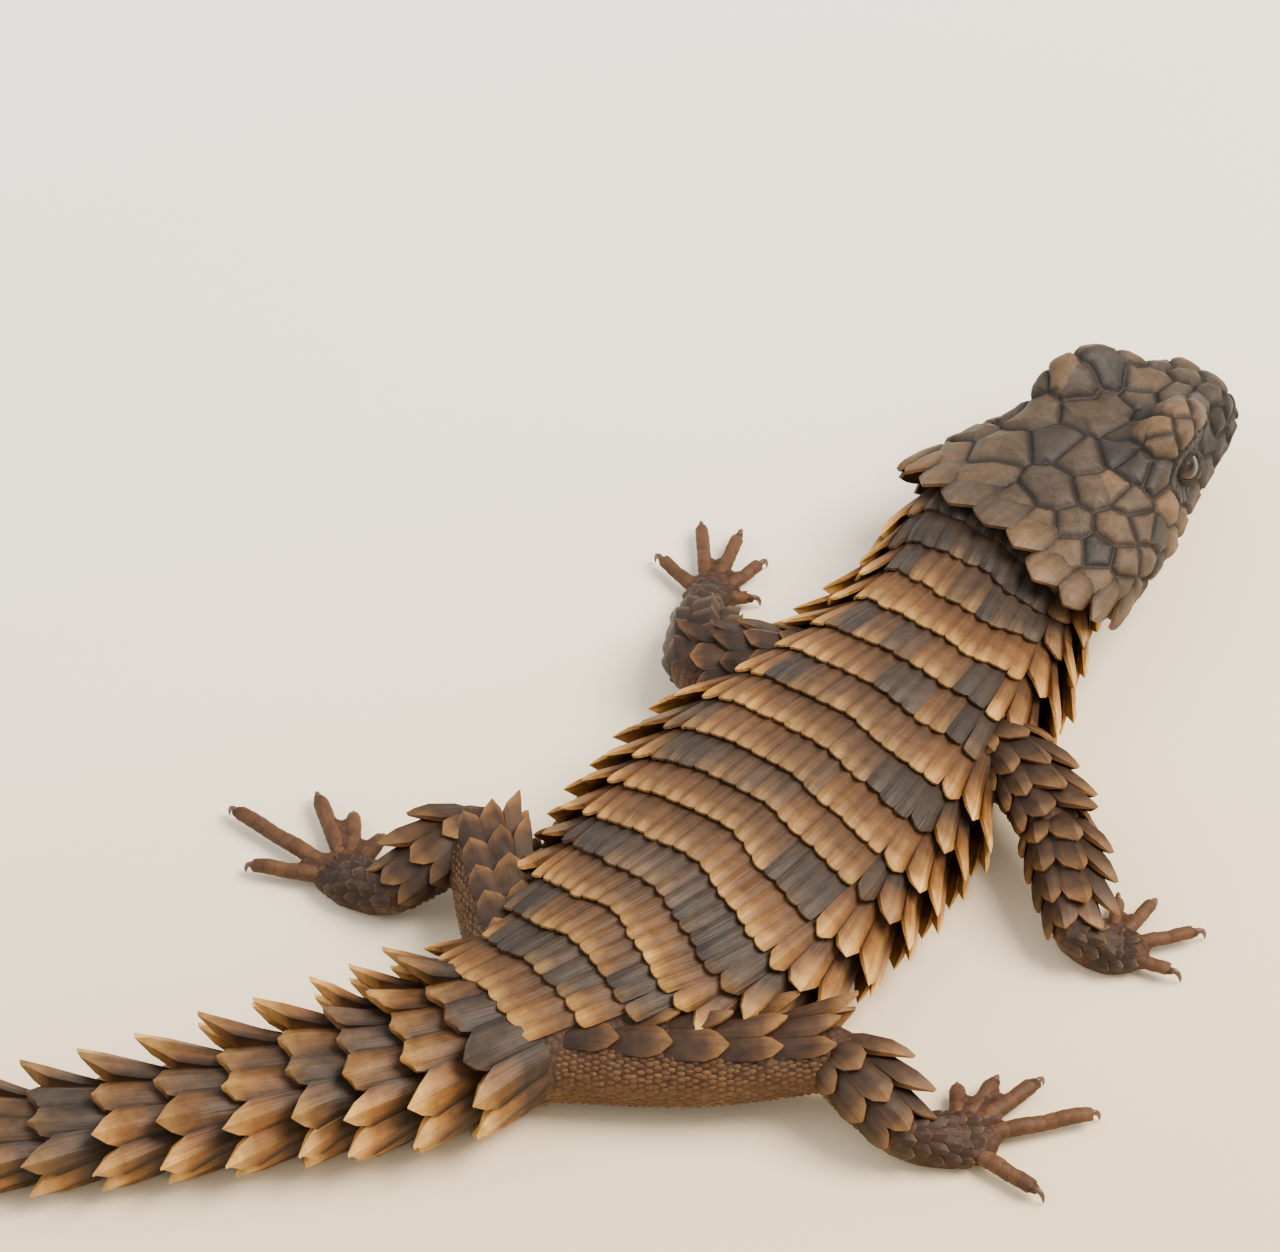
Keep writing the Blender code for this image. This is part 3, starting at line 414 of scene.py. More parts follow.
def modelScale(values):
    # One scale, modelled flat. X runs across it from -1 to 1, Y from its root at 0 to its point at 1,
    # and Z is its height. Returns its points and faces.
    near = 1e-3
    rows = len(values["stations"]) - 1
    bpy.ops.object.select_all(action="DESELECT")
    bpy.ops.mesh.primitive_grid_add(x_subdivisions=values.get("columns", 4), y_subdivisions=rows, size=2)
    obj = bpy.context.object
    bpy.context.tool_settings.mesh_select_mode = (True, False, False)
    for j, (_, width, height, keel, drop) in enumerate(values["stations"]):
        at = -1 + 2 * j / rows
        across = {v.index: abs(v.co.x) for v in obj.data.vertices if abs(v.co.y - at) < near}
        ridge = [i for i, x in across.items() if x < near]
        rim = [i for i, x in across.items() if abs(x - 1) < near]
        shapeIn(obj, across, (0, 0, height), (width, 1, 1))
        shapeIn(obj, ridge, (0, 0, keel))
        shapeIn(obj, rim, (0, 0, -drop))
    # the stations take their places along the scale, the point last
    for v in obj.data.vertices:
        j = int(round((v.co.y + 1) / 2 * rows))
        along, width = values["stations"][j][:2]
        v.co.y = along - values["point"][j] * (abs(v.co.x) / max(width, 1e-6)) ** 1.4
    only(obj)
    bpy.ops.object.mode_set(mode="EDIT")
    bpy.ops.mesh.select_all(action="SELECT")
    bpy.ops.mesh.extrude_region_move(TRANSFORM_OT_translate={"value": (0, 0, -values["thick"])})
    bpy.ops.mesh.select_all(action="SELECT")
    bpy.ops.mesh.normals_make_consistent(inside=False)
    bpy.ops.object.mode_set(mode="OBJECT")
    points = np.array([v.co for v in obj.data.vertices])
    faces = [tuple(p.vertices) for p in obj.data.polygons]
    isTop = np.zeros(len(points), bool)
    for face in obj.data.polygons:
        if face.normal.z > 0.3:
            isTop[list(face.vertices)] = True
    bpy.data.objects.remove(obj)
    if "depth" in values:
        deep = np.interp(points[:, 1], [station[0] for station in values["stations"]], values["depth"])
        points[~isTop, 2] += (values["thick"] - deep)[~isTop]
    # where each corner of a face lies on the scale's own patch, underside and rim kept apart from the top
    patch = []
    for f in faces:
        kinds = isTop[list(f)]
        for i in f:
            a, t = points[i][0], np.clip(points[i][1], 0, 1)
            first, span = patchSplit["top" if kinds.any() else "under"]
            shrink = 1.0 if isTop[i] or not kinds.any() else patchSplit["rim"]
            patch.append((a * shrink, first + span * t * shrink))
    return {"points": points, "faces": faces, "patch": np.array(patch), "under": np.where(isTop, 0.0, 1.0)}


# stations: place along, half width, height, keel and how far the rim drops; point: how far each station's rim
# lies back; depth: how deep the underside is at each station
scaleShapes = {
    "back": {
        "thick": 0.24, "point": (0.0, 0.0, 0.01, 0.03, 0.05),
        "stations": [(0.0, 1.03, -0.25, 0.02, 0.03), (0.36, 1.05, 0.06, 0.1, 0.08),
                     (0.7, 1.05, 0.14, 0.15, 0.1), (0.9, 1.05, 0.1, 0.15, 0.1), (1.0, 0.96, 0.0, 0.15, 0.08)],
    },
    "side": {
        "thick": 0.26, "point": (0.0, 0.0, 0.02, 0.03, 0.04),
        "stations": [(0.0, 1.06, -0.25, 0.04, 0.05), (0.36, 1.16, 0.06, 0.16, 0.1),
                     (0.74, 1.34, 0.12, 0.22, 0.14), (0.9, 1.24, 0.1, 0.2, 0.12), (1.0, 0.5, 0.0, 0.1, 0.04)],
    },
    "flank": {
        "thick": 0.3, "point": (0.0, 0.0, 0.02, 0.02, 0.01), "depth": (0.2, 0.45, 0.5, 0.34, 0.06),
        "stations": [(0.0, 1.08, -0.25, 0.05, 0.04), (0.4, 1.26, 0.06, 0.18, 0.1),
                     (0.74, 1.46, 0.12, 0.26, 0.18), (0.88, 0.86, 0.12, 0.24, 0.1), (1.0, 0.05, 0.02, 0.03, 0.01)],
    },
    "spike": {
        "thick": 0.3, "point": (0.0, 0.0, 0.02, 0.03, 0.02), "depth": (0.2, 0.45, 0.5, 0.34, 0.06),
        "stations": [(0.0, 1.05, -0.25, 0.08, 0.06), (0.36, 1.14, 0.06, 0.3, 0.18),
                     (0.68, 1.1, 0.12, 0.4, 0.24), (0.87, 0.66, 0.12, 0.32, 0.16), (1.0, 0.05, 0.02, 0.03, 0.01)],
    },
    "thorn": {
        "thick": 0.4, "point": (0.0, 0.0, 0.02, 0.02, 0.01), "depth": (0.3, 1.0, 1.2, 0.8, 0.06),
        "stations": [(0.0, 1.06, -0.25, 0.06, 0.05), (0.34, 1.2, 0.08, 0.3, 0.16),
                     (0.68, 1.22, 0.2, 0.42, 0.2), (0.87, 0.66, 0.24, 0.32, 0.12), (1.0, 0.05, 0.12, 0.03, 0.01)],
    },
    "limb": {
        "thick": 0.22, "point": (0.0, 0.0, 0.02, 0.03, 0.02),
        "stations": [(0.0, 0.94, -0.2, 0.06, 0.05), (0.4, 1.05, 0.03, 0.2, 0.12),
                     (0.7, 1.05, 0.05, 0.26, 0.14), (0.88, 0.74, 0.04, 0.2, 0.1), (1.0, 0.14, -0.02, 0.06, 0.03)],
    },
    "whorl": {
        "thick": 0.4, "point": (0.0, 0.0, 0.02, 0.05, 0.06), "depth": (0.3, 0.7, 0.8, 0.6, 0.4),
        "stations": [(0.0, 1.05, -0.25, 0.06, 0.06), (0.4, 1.14, 0.06, 0.24, 0.14),
                     (0.76, 1.2, 0.16, 0.34, 0.18), (0.92, 0.96, 0.18, 0.3, 0.14), (1.0, 0.3, 0.12, 0.2, 0.06)],
    },
    "plate": {
        "thick": 0.2, "point": (0.0, 0.0, 0.02, 0.06),
        "stations": [(0.0, 0.92, -0.1, 0.02, 0.05), (0.3, 0.96, 0.04, 0.04, 0.1),
                     (0.8, 0.96, 0.05, 0.05, 0.12), (1.0, 0.86, -0.04, 0.03, 0.1)],
    },
    "ring": {
        "thick": 0.15, "point": (0.0, 0.0, 0.02, 0.06),
        "stations": [(0.0, 1.0, -0.12, 0.0, 0.02), (0.35, 1.0, 0.04, 0.03, 0.06),
                     (0.82, 1.0, 0.05, 0.04, 0.08), (1.0, 0.9, -0.05, 0.0, 0.06)],
    },
    "granule": {
        "columns": 2, "thick": 0.15, "point": (0.0, 0.0, 0.0),
        "stations": [(0.0, 0.55, -0.08, 0.02, 0.04), (0.5, 0.92, 0.1, 0.12, 0.12), (1.0, 0.55, -0.06, 0.02, 0.04)],
    },
}
scaleModels = {name: modelScale(values) for name, values in scaleShapes.items()}
print("scale shapes", {name: len(model["faces"]) for name, model in scaleModels.items()})


# how late along a scale each bend comes, as the power of the place along it
bendPower = {"sweep": 1.5, "rise": 1.25, "out": 1.6, "sink": 3}
floorGap = 0.03  # no scale comes lower


class Coat:
    # Gathers scales laid on one or more tubes into one mesh
    def __init__(self):
        self.verts, self.faces, self.colours, self.grain, self.bake = [], [], [], [], []
        self.count = 0

    def lay(self, kind, place, start, length, angle, half, lift, rise, out, colour, bake, size=1.0, cup=0.0,
            sweep=0.0, sink=0.0):
        # place(s, angle, lift, out) gives points; the rest are one value, or an array with one for each scale
        model = scaleModels[kind]
        a, t, z = model["points"].T
        many, each = len(start), len(t)
        start, length, angle, half, lift, rise, out, size, sweep = [
            np.asarray(np.broadcast_to(v, (many,)), float)[:, None]
            for v in (start, length, angle, half, lift, rise, out, size, sweep)]
        s = start + length * t[None]
        tilt = np.clip(t, 0, 1)[None]
        turn = angle + half * a[None] + sweep * tilt ** bendPower["sweep"]
        high = lift + rise * tilt ** bendPower["rise"] + size * z[None] - cup * a[None] ** 2
        high = high - sink * (1 - tilt) ** bendPower["sink"]
        points = place(s, turn, high, out * tilt ** bendPower["out"])
        points[..., 2] = np.maximum(points[..., 2], floorGap)
        self.verts.append(points.reshape(-1, 3))
        base = self.count + each * np.arange(many)
        self.count += many * each
        tint = colour(np.broadcast_to(tilt, s.shape), np.broadcast_to(a[None], s.shape))
        # light that comes through a thin scale warms its underside
        tint = mix(tint, tint * 0.7 + hues["orange"] * 0.35, model["under"][None, :, None] * 0.8)
        self.colours.append(tint.reshape(-1, 3))
        # corners in the order of the faces
        u, v, du, dv = [np.broadcast_to(value, (many,))[:, None] for value in bake]
        random = draw.random(many)[:, None]
        index = 0
        for f in model["faces"]:
            self.faces.append(base[:, None] + np.array(f)[None])
            across, along = model["patch"][None, index:index + len(f)].transpose(2, 0, 1)
            index += len(f)
            self.bake.append(np.stack([u + du * along, v + dv * across * 0.5], -1))
            self.grain.append(np.stack([across * 0.5 + 0.5 + np.round(random * 40),
                                        np.broadcast_to(along, (many, len(f)))], -1))

    def build(self, name):
        flat = (np.concatenate(self.verts) - middle) * mm
        sizes = np.concatenate([np.full(len(f), f.shape[1]) for f in self.faces])
        corners = np.concatenate([f.ravel() for f in self.faces])
        mesh = bpy.data.meshes.new(name)
        mesh.vertices.add(len(flat))
        mesh.vertices.foreach_set("co", flat.ravel())
        mesh.loops.add(len(corners))
        mesh.loops.foreach_set("vertex_index", corners.astype(np.int32))
        mesh.polygons.add(len(sizes))
        starts = np.concatenate([[0], np.cumsum(sizes)[:-1]])
        mesh.polygons.foreach_set("loop_start", starts.astype(np.int32))
        smoothFaces(mesh)
        mesh.update(calc_edges=True)
        for label, values in (("OFBake", self.bake), ("grain", self.grain)):
            layer = mesh.uv_layers.new(name=label)
            uv = np.concatenate([v.reshape(-1, 2) for v in values])
            layer.data.foreach_set("uv", uv.astype(np.float32).ravel())
        obj = addObject(name, mesh)
        paint(obj, "tint", np.concatenate(self.colours))
        only(obj)
        bpy.ops.object.shade_smooth_by_angle(angle=math.radians(42))
        print(name, len(mesh.polygons), "faces")
        return obj


def bakePatch(area, along, length, angle, half, turn=372, fill=0.86):
    # where scales lie in an area of the bake map: share along the piece and angle round it, and their size there
    return (area[0] + area[2] * along, area[1] + area[3] * (0.5 + angle / turn),
            area[2] * fill * length, area[3] * fill * 2 * half / turn)


def trunkRows():
    edges = list(trunk["neckEdges"])
    step = (trunk["vent"] - edges[-1]) / trunk["torsoRows"]
    edges += [edges[-1] + step * (k + 1) for k in range(trunk["torsoRows"])]
    return edges


body = {
    "scaleWidth": {"back": 1.42, "flank": 1.85, "tailStart": 2.2, "tailEnd": 1.3},
    "widening": {"back": (40, 75), "tail": (25, 60)},  # angles between which the scales change their width
    "arc": 116,
    "tailArc": 140,
    "rootUnder": 0.9,  # how far a scale's root lies under the row before
    "vary": 0.12,
    "bellyPlates": 10,
    "tailPlates": 4,
    "clear": 0.5,  # room left round the legs
    "alwaysOn": {"angles": (62, 50), "places": (80, 90)},  # rows nearer the ridge than this run on past the legs
    "sweep": {"tail": 5, "left": 4, "right": 7, "hips": 6},  # degrees that points turn down the side
    "kinds": {"back": ("back", "side", "flank"), "tail": ("whorl", "whorl", "thorn")},
    "kindLimits": (0.2, 0.5),
    "bakeArea": (0.02, 0.0, 0.96, 1.0),
}
# how points stand out: at the ridge, and how much more at the sides
trunkPoints = {"side": (44, 80), "reach": (0.85, 1.0), "rise": (0.55, 0.7), "out": 1.75}
tailPoints = {"side": (12, 44), "reach": (0.9, 0.75), "rise": (1.2, 1.7), "out": 0.9, "closing": (163, 172)}


def trunkTip(s, angle):
    # how far a point passes its row, how high it stands and how far it is pushed out
    side = ramp(np.abs(angle), *trunkPoints["side"])
    size = 0.45 + 0.55 * ramp(s, 33, 44)  # short on the neck
    low = side * (1 - 0.45 * ramp(np.abs(angle), 100, 118))  # shorter again near the belly
    hip = 1 + 0.4 * ramp(s, 82, 92)
    reach, rise = trunkPoints["reach"], trunkPoints["rise"]
    return ((reach[0] + reach[1] * low) * size, (rise[0] + rise[1] * side) * size,
            trunkPoints["out"] * low * size * hip)


def tailTip(s, angle):
    side = ramp(np.abs(angle), *tailPoints["side"])
    size = (1 - 0.72 * ramp(np.abs(angle), 66, 112)) * (1 - 0.52 * ramp(s, 100, 172))  # by angle and along the tail
    reach, rise = [(ridge + more * side) * size for ridge, more in (tailPoints["reach"], tailPoints["rise"])]
    out = tailPoints["out"] * side * size
    # the last rows lie flatter and close to a point
    closing = ramp(s, *tailPoints["closing"])
    thin = trunkTube.radiusAt(min(s, trunkTube.length))
    return mix(reach, 1.9, closing), mix(rise, -0.85 * thin, closing), mix(out, 0.0, closing)


def scaleColour(tone, tipTone, flank, shaded):
    # painted shade darkens the root, where the row before overlaps it, and the sides of the scale; the body of the
    # scale by its tone, and the trailing edge pale; long flank scales have clear amber sides
    def colour(t, a):
        tones, tips, long = [np.broadcast_to(v[:, None], t.shape) for v in (tone, tipTone, flank)]
        base = toneColour(tones)
        tint = mix(base * (0.7 - 0.08 * long)[..., None], base * 0.98, ramp(t, 0.3, 0.85)[..., None])
        gold = np.clip(tips * 1.3, 0, 1) * (0.2 + 0.6 * long) * ramp(t, 0.34, 0.74)
        amber = 0.9 * long * np.clip(tips + 0.3, 0, 1) * ramp(t, 0.5, 0.72) * ramp(np.abs(a), 0.45, 0.95)
        edge = ramp(t + 0.1 * (1 - np.abs(a)), 0.76 - 0.06 * long, 1.04)
        pale = np.clip(tips, 0, 1) * (0.6 + 0.4 * long) * edge
        for hue, share in (("gold", gold), ("orange", amber), ("cream", pale)):
            tint = mix(tint, hues[hue], share[..., None])
        tint = mix(hues["groove"], tint, (0.25 + 0.75 * ramp(t, 0.2, 0.5))[..., None])
        return tint * (1 - shaded * (np.abs(a) ** 4)[..., None])

    return colour


def spread(tube, s, arc, widthAt, centre=0.0):
    # angles and half widths of scales that fill an arc of the section, each about as wide as widthAt(angle)
    samples = 481
    fine = np.linspace(-arc, arc, samples) + centre
    points = tube.pointAt(np.full(samples, float(s)), fine)
    steps = np.linalg.norm(np.diff(points, axis=0), axis=1) / widthAt((fine[1:] + fine[:-1]) / 2)
    gone = np.concatenate([[0.0], np.cumsum(steps)])
    count = max(4, int(round(gone[-1])))
    borders = np.interp(np.linspace(0, gone[-1], count + 1), gone, fine)
    borders[1:-1] += draw.uniform(-0.09, 0.09, count - 1) * np.diff(borders)[:-1]
    return (borders[1:] + borders[:-1]) / 2, np.diff(borders) / 2


def backWidth(angle):
    widths = body["scaleWidth"]
    return mix(widths["back"], widths["flank"], ramp(np.abs(angle), *body["widening"]["back"]))


def clearOfLimbs(points):
    # which points lie outside the four upper limbs
    clear = np.ones(len(points), bool)
    for tube in thighs:
        for s in np.arange(0, tube.length, 0.7):
            clear &= np.linalg.norm(points - tube.centreAt(s), axis=1) > tube.radiusAt(s) + body["clear"]
    return clear


def layRow(coat, start, end, arc, tip, widthAt, bakeFrom, bakeTo):
    where = (start + end) / 2
    angle, half = spread(trunkTube, where, arc, widthAt)
    free = clearOfLimbs(trunkPlace(np.full(len(angle), where), angle))
    free |= np.abs(angle) < mix(*body["alwaysOn"]["angles"], ramp(start, *body["alwaysOn"]["places"]))
    angle, half = angle[free], half[free]
    count = len(angle)
    reach, rise, out = tip(end, angle)
    side = ramp(np.abs(angle), 40, 80)
    wild = 1 + body["vary"] * draw.uniform(-1, 1, count)
    begin = start - body["rootUnder"] * (end - start) / 4.1
    tone = bodyTone(end, angle) + draw.normal(0, 0.03, count)
    length = end + reach * wild - begin
    tipTone = 0.32 + 0.58 * side + 0.9 * (tone - 0.5) + draw.normal(0, 0.08, count)
    onTail = start > trunk["vent"] - 0.1
    sweep = body["sweep"]
    if onTail:
        side = ramp(np.abs(angle), *tailPoints["side"])
        turn = sweep["tail"]
    else:
        turn = np.where(angle > 0, sweep["right"], sweep["left"]) + sweep["hips"] * ramp(start, 78, 92)
    sweep = np.sign(angle) * side * turn
    low, high = body["kindLimits"]
    span = bakeTo - bakeFrom
    for kind, at in zip(body["kinds"]["tail" if onTail else "back"],
                        (side <= low, (side > low) & (side <= high), side > high)):
        if not at.any():
            continue
        bake = bakePatch(body["bakeArea"], (start - bakeFrom) / span, (end - start) / span, angle[at], half[at])
        coat.lay(kind, trunkPlace, np.full(at.sum(), begin), length[at], angle[at], half[at], 0.0,
                 rise[at] * (1 + 0.06 * draw.uniform(-1, 1, at.sum())), (out * wild)[at],
                 scaleColour(tone[at], tipTone[at], side[at], 0.4 if onTail else 0.16), bake, sweep=sweep[at])


def layBelly(coat, start, end, arc, count, bakeFrom, bakeTo):
    # flat plates under the body
    around = 360 - 2 * arc
    angle = arc + (np.arange(count) + 0.5) / count * around
    half = np.full(count, around / count / 2)

    def colour(t, a):
        tint = mix(hues["belly"], hues["brown"], (0.5 + 0.4 * draw.uniform(-1, 1, (len(t), 1)))[..., None])
        # painted shade at the root of each plate, where the plate before overlaps it
        root = (0.3 + 0.7 * ramp(t, 0, 0.3))[..., None]
        return mix(hues["charcoal"], np.broadcast_to(tint, t.shape + (3,)), root)

    span = bakeTo - bakeFrom
    bake = bakePatch(body["bakeArea"], (start - bakeFrom) / span, (end - start) / span, signedAngle(angle), half)
    coat.lay("plate", trunkTube.pointAt, np.full(count, start - 0.5), end - start + 0.6, angle, half,
             0.02, 0.18, 0.0, colour, bake)


backCoat = Coat()
rows = trunkRows()
for k in range(len(rows) - 1):
    if k > 0:
        layRow(backCoat, rows[k], rows[k + 1], body["arc"], trunkTip, backWidth, 26, 99)
    layBelly(backCoat, rows[k], rows[k + 1], body["arc"] - 2, body["bellyPlates"], 26, 99)
backScales = backCoat.build("back_scales")

tailCoat = Coat()
whorls = trunk["tailEdges"]
for k in range(len(whorls) - 1):
    width = mix(body["scaleWidth"]["tailStart"], body["scaleWidth"]["tailEnd"], k / (len(whorls) - 2))
    layRow(tailCoat, whorls[k], whorls[k + 1], body["tailArc"], tailTip,
           lambda angle: width * mix(1.25, 0.95, ramp(np.abs(angle), *body["widening"]["tail"])), 98, 174)
    layBelly(tailCoat, whorls[k], whorls[k + 1], body["tailArc"] - 2, body["tailPlates"], 98, 174)
tailScales = tailCoat.build("tail_scales")


legs = {
    "rows": {"front": (5, 4), "hind": (5, 3)},
    "scaleWidth": {"front": 2.25, "hind": 2.9},
    "arc": {"front": (112, 130), "hind": (74, 118)},
    "lean": {"front": (16, 12), "hind": (36, 24)},  # how far the rings of scales lie to the outer side
    "spineSide": {"front": 55, "hind": 70},
    "spineSize": {"frontRight": 1.25, "frontLeft": 1.1, "hindRight": 1.6, "hindLeft": 1.2},
    # painted shadow over the front left limb: its tones are lowered by this much, and its pale ends are shorter
    "inShadow": {"frontLeft": 0.25},
    "pale": {"frontLeft": 0.42, "other": 0.6},  # how much of a scale its pale end takes
    "sharpFrom": 0.45,
    "rootUnder": 0.8,
    "granules": {"pitch": 0.6, "width": 0.58, "overlap": 14},
    "turn": 380,  # degrees of a leg that fill its strip of the bake map
    "spineSpan": 52,  # degrees over which the spines grow shorter to both sides
    "shortFrom": (95, 130),  # angles between which they grow short towards the underside
    # reach and rise of a plain scale, and what the strongest adds, with how far it is pushed out
    "reach": (0.55, 1.35), "rise": (0.5, 0.65), "out": 0.4,
}


def legColour(tone, pale=0.6):
    tone = np.clip(tone, 0, 1)[:, None]

    def colour(t, a):
        share = np.broadcast_to(tone, t.shape)[..., None]
        base = mix(hues["legDark"], hues["legBrown"], share)
        end = mix(hues["legBrown"], hues["legTan"], np.clip(share + 0.35, 0, 1))
        tint = mix(base, end, ramp(t + 0.15 * np.abs(a), 1.25 - pale, 1.05)[..., None])
        # painted shade: darker at the root, under the ring before, and at the sides of each scale
        tint = mix(hues["groove"], tint, (0.3 + 0.7 * ramp(t, 0.1, 0.34))[..., None])
        return tint * (1 - 0.2 * (np.abs(a) ** 8)[..., None])

    return colour


def layLimb(coat, tube, rowCount, name, strip, part):
    # rings of large scales on the outer side of a limb, part 0 being its upper length
    kind = kindOf(name)
    turn = 1 if name.endswith("Right") else -1
    size = legs["spineSize"][name]
    arc = legs["arc"][kind][part]
    lean = legs["lean"][kind][part] * turn
    area = (0.02, strip / 8, 0.96, 1 / 8)
    first, last = (1.0, tube.length - 0.6) if part == 0 else (-0.9, tube.length - 0.5)
    for k in range(rowCount):
        start, end = [mix(first, last, row / rowCount) for row in (k, k + 1)]
        angle, half = spread(tube, (start + end) / 2, arc, lambda a: np.full(a.shape, legs["scaleWidth"][kind]), lean)
        count = len(angle)
        # 1 where the spines are longest
        strong = np.exp(-((angle - legs["spineSide"][kind] * turn) / legs["spineSpan"]) ** 2)
        if part == 0:
            strong = strong * (0.3 + 0.7 * ramp(end, 0.3 * tube.length, 0.8 * tube.length))
        elif k == rowCount - 1:
            strong = strong * 0.25
        low = (1 - 0.7 * ramp(np.abs(angle), *legs["shortFrom"])) * size
        reach, rise = [(plain + more * strong) * low for plain, more in (legs["reach"], legs["rise"])]
        reach = reach * (1 + 0.12 * draw.uniform(-1, 1, count))
        out = legs["out"] * strong * low
        # the front left limb's tones are lowered for its painted shadow
        tone = 0.2 + 0.25 * strong + draw.normal(0, 0.2, count) - legs["inShadow"].get(name, 0.0)
        sharp = strong > legs["sharpFrom"]
        begin = start - legs["rootUnder"]
        for shape, at in (("limb", ~sharp), ("spike", sharp)):
            if at.any():
                bake = bakePatch(area, start / tube.length, 1 / rowCount, angle[at], half[at], legs["turn"])
                coat.lay(shape, tube.pointAt, np.full(at.sum(), begin), (end + reach - begin)[at], angle[at],
                         half[at], 0.0, rise[at], out[at],
                         legColour(tone[at], legs["pale"].get(name, legs["pale"]["other"])), bake,
                         size=0.9 + 0.3 * strong[at], sink=1.5 if part == 1 and k == 0 else 0.0)
    # small round scales on the inner side
    pitch = legs["granules"]["pitch"]
    span = 360 - 2 * arc + legs["granules"]["overlap"]
    for k in range(int(tube.length / pitch)):
        start = k * pitch
        count = max(4, int(round(math.radians(span) * tube.radiusAt(start) / legs["granules"]["width"])))
        angle = 180 + lean - span / 2 + (np.arange(count) + (0.5 if k % 2 else 0.0)) / count * span
        half = np.full(count, span / count / 2 * 0.98)
        shade = draw.uniform(0.0, 0.7, count)
        angle = angle + draw.uniform(-0.22, 0.22, count) * span / count
        size = draw.uniform(0.8, 1.05, count)

        def colour(t, a):
            tint = mix(hues["ochre"], hues["rust"], shade[:, None, None])
            return np.broadcast_to(tint, t.shape + (3,)).copy()

        bake = bakePatch(area, start / tube.length, pitch / tube.length, signedAngle(angle), half, legs["turn"], 0.8)
        coat.lay("granule", tube.pointAt, start + draw.uniform(-0.12, 0.12, count), pitch * size, angle, half * size,
                 0.02, 0.0, 0.0, colour, bake, size=0.5)


def tubeLoft(tube, step, sides, lift=0.0, stretch=(0.0, 0.0), begin=0.0):
    # rings along a tube, with rounded ends where they are stretched
    turns = np.array([0.4, 0.8, 1.2, 1.5])
    places, shrink = [], []
    if stretch[0]:
        places += list(-stretch[0] * tube.radiusAt(0) * np.sin(turns[::-1]))
        shrink += list(np.cos(turns[::-1]))
    many = max(3, int(round((tube.length - begin) / step)))
    places += [mix(begin, tube.length, k / many) for k in range(many + 1)]
    shrink += [1.0] * (many + 1)
    if stretch[1]:
        places += list(tube.length + stretch[1] * tube.radiusAt(tube.length) * np.sin(turns))
        shrink += list(np.cos(turns))
    s = np.array(places)[:, None]
    angle = np.broadcast_to(np.arange(sides)[None] * 360 / sides, (len(places), sides))
    points = tube.pointAt(s, angle, lift(s) if callable(lift) else lift)
    centre = points.mean(1, keepdims=True)
    points = centre + (points - centre) * np.array(shrink)[:, None, None]
    return points.reshape(-1, 3), ringFaces(len(places), sides)


toes = {
    # joints of a toe: share of its length, height and width
    "joints": [(0.0, 1.2, 1.15), (0.22, 1.35, 1.02), (0.42, 1.4, 1.05), (0.6, 1.25, 0.96), (0.78, 1.35, 0.98),
               (0.92, 1.3, 0.92), (1.0, 1.12, 0.8)],
    "flat": 0.92,
    "ring": {"pitch": 1.0, "count": 4, "arc": 130},
    "palm": {"pitch": 1.25, "arc": 95, "width": 1.25, "stagger": 6},
    "tan": linear("#644629"),
}


def toeTube(root, end, radius):
    ahead = np.array([end[0] - root[0], end[1] - root[1], 0.0])
    length = np.linalg.norm(ahead)
    ahead /= length
    line = [np.array([root[0], root[1], z]) + ahead * length * share for share, z, _ in toes["joints"]]
    tube = BodyTube(line, [(0, 1, 1, -1)], power=2.0)
    wide = [radius * w for _, _, w in toes["joints"]]
    tube.sizes = np.array([(s, w, w * toes["flat"], -w * toes["flat"]) for s, w in zip(tube.knots, wide)])
    return tube, ahead


def toeColour(tone):
    def colour(t, a):
        tint = mix(hues["rust"] * 0.85, toes["tan"], np.broadcast_to(tone[:, None], t.shape)[..., None])
        # painted shade at the root of each ring of scales, where the ring before overlaps it
        return tint * mix(0.72, 1.0, ramp(t, 0.12, 0.3))[..., None]

    return colour


def layToe(coat, tube, area):
    # narrow scales in rings along a toe
    pitch, count, arc = toes["ring"].values()
    for k in range(int(tube.length / pitch)):
        start = k * pitch
        angle = (np.arange(count) + 0.5) / count * 2 * arc - arc
        half = np.full(count, arc / count)
        tone = 0.3 + 0.14 * draw.uniform(-1, 1) + draw.uniform(-0.06, 0.06, count)
        bake = bakePatch(area, start / tube.length, pitch / tube.length, angle, half, legs["turn"], 0.8)
        coat.lay("ring", tube.pointAt, np.full(count, start - 0.12), pitch * 1.28, angle, half, -0.02, 0.05, 0.0,
                 toeColour(tone), bake, size=0.28)


claw = {
    # steps of the claw: how far ahead, how high, and its size there
    "steps": [(-0.5, 1.1, 0.26), (-0.1, 1.28, 0.3), (0.24, 1.3, 0.29), (0.52, 1.12, 0.25), (0.68, 0.8, 0.19),
              (0.74, 0.45, 0.12), (0.72, 0.1, 0.03)],
    "sides": 8,
    "narrow": 0.8,
}


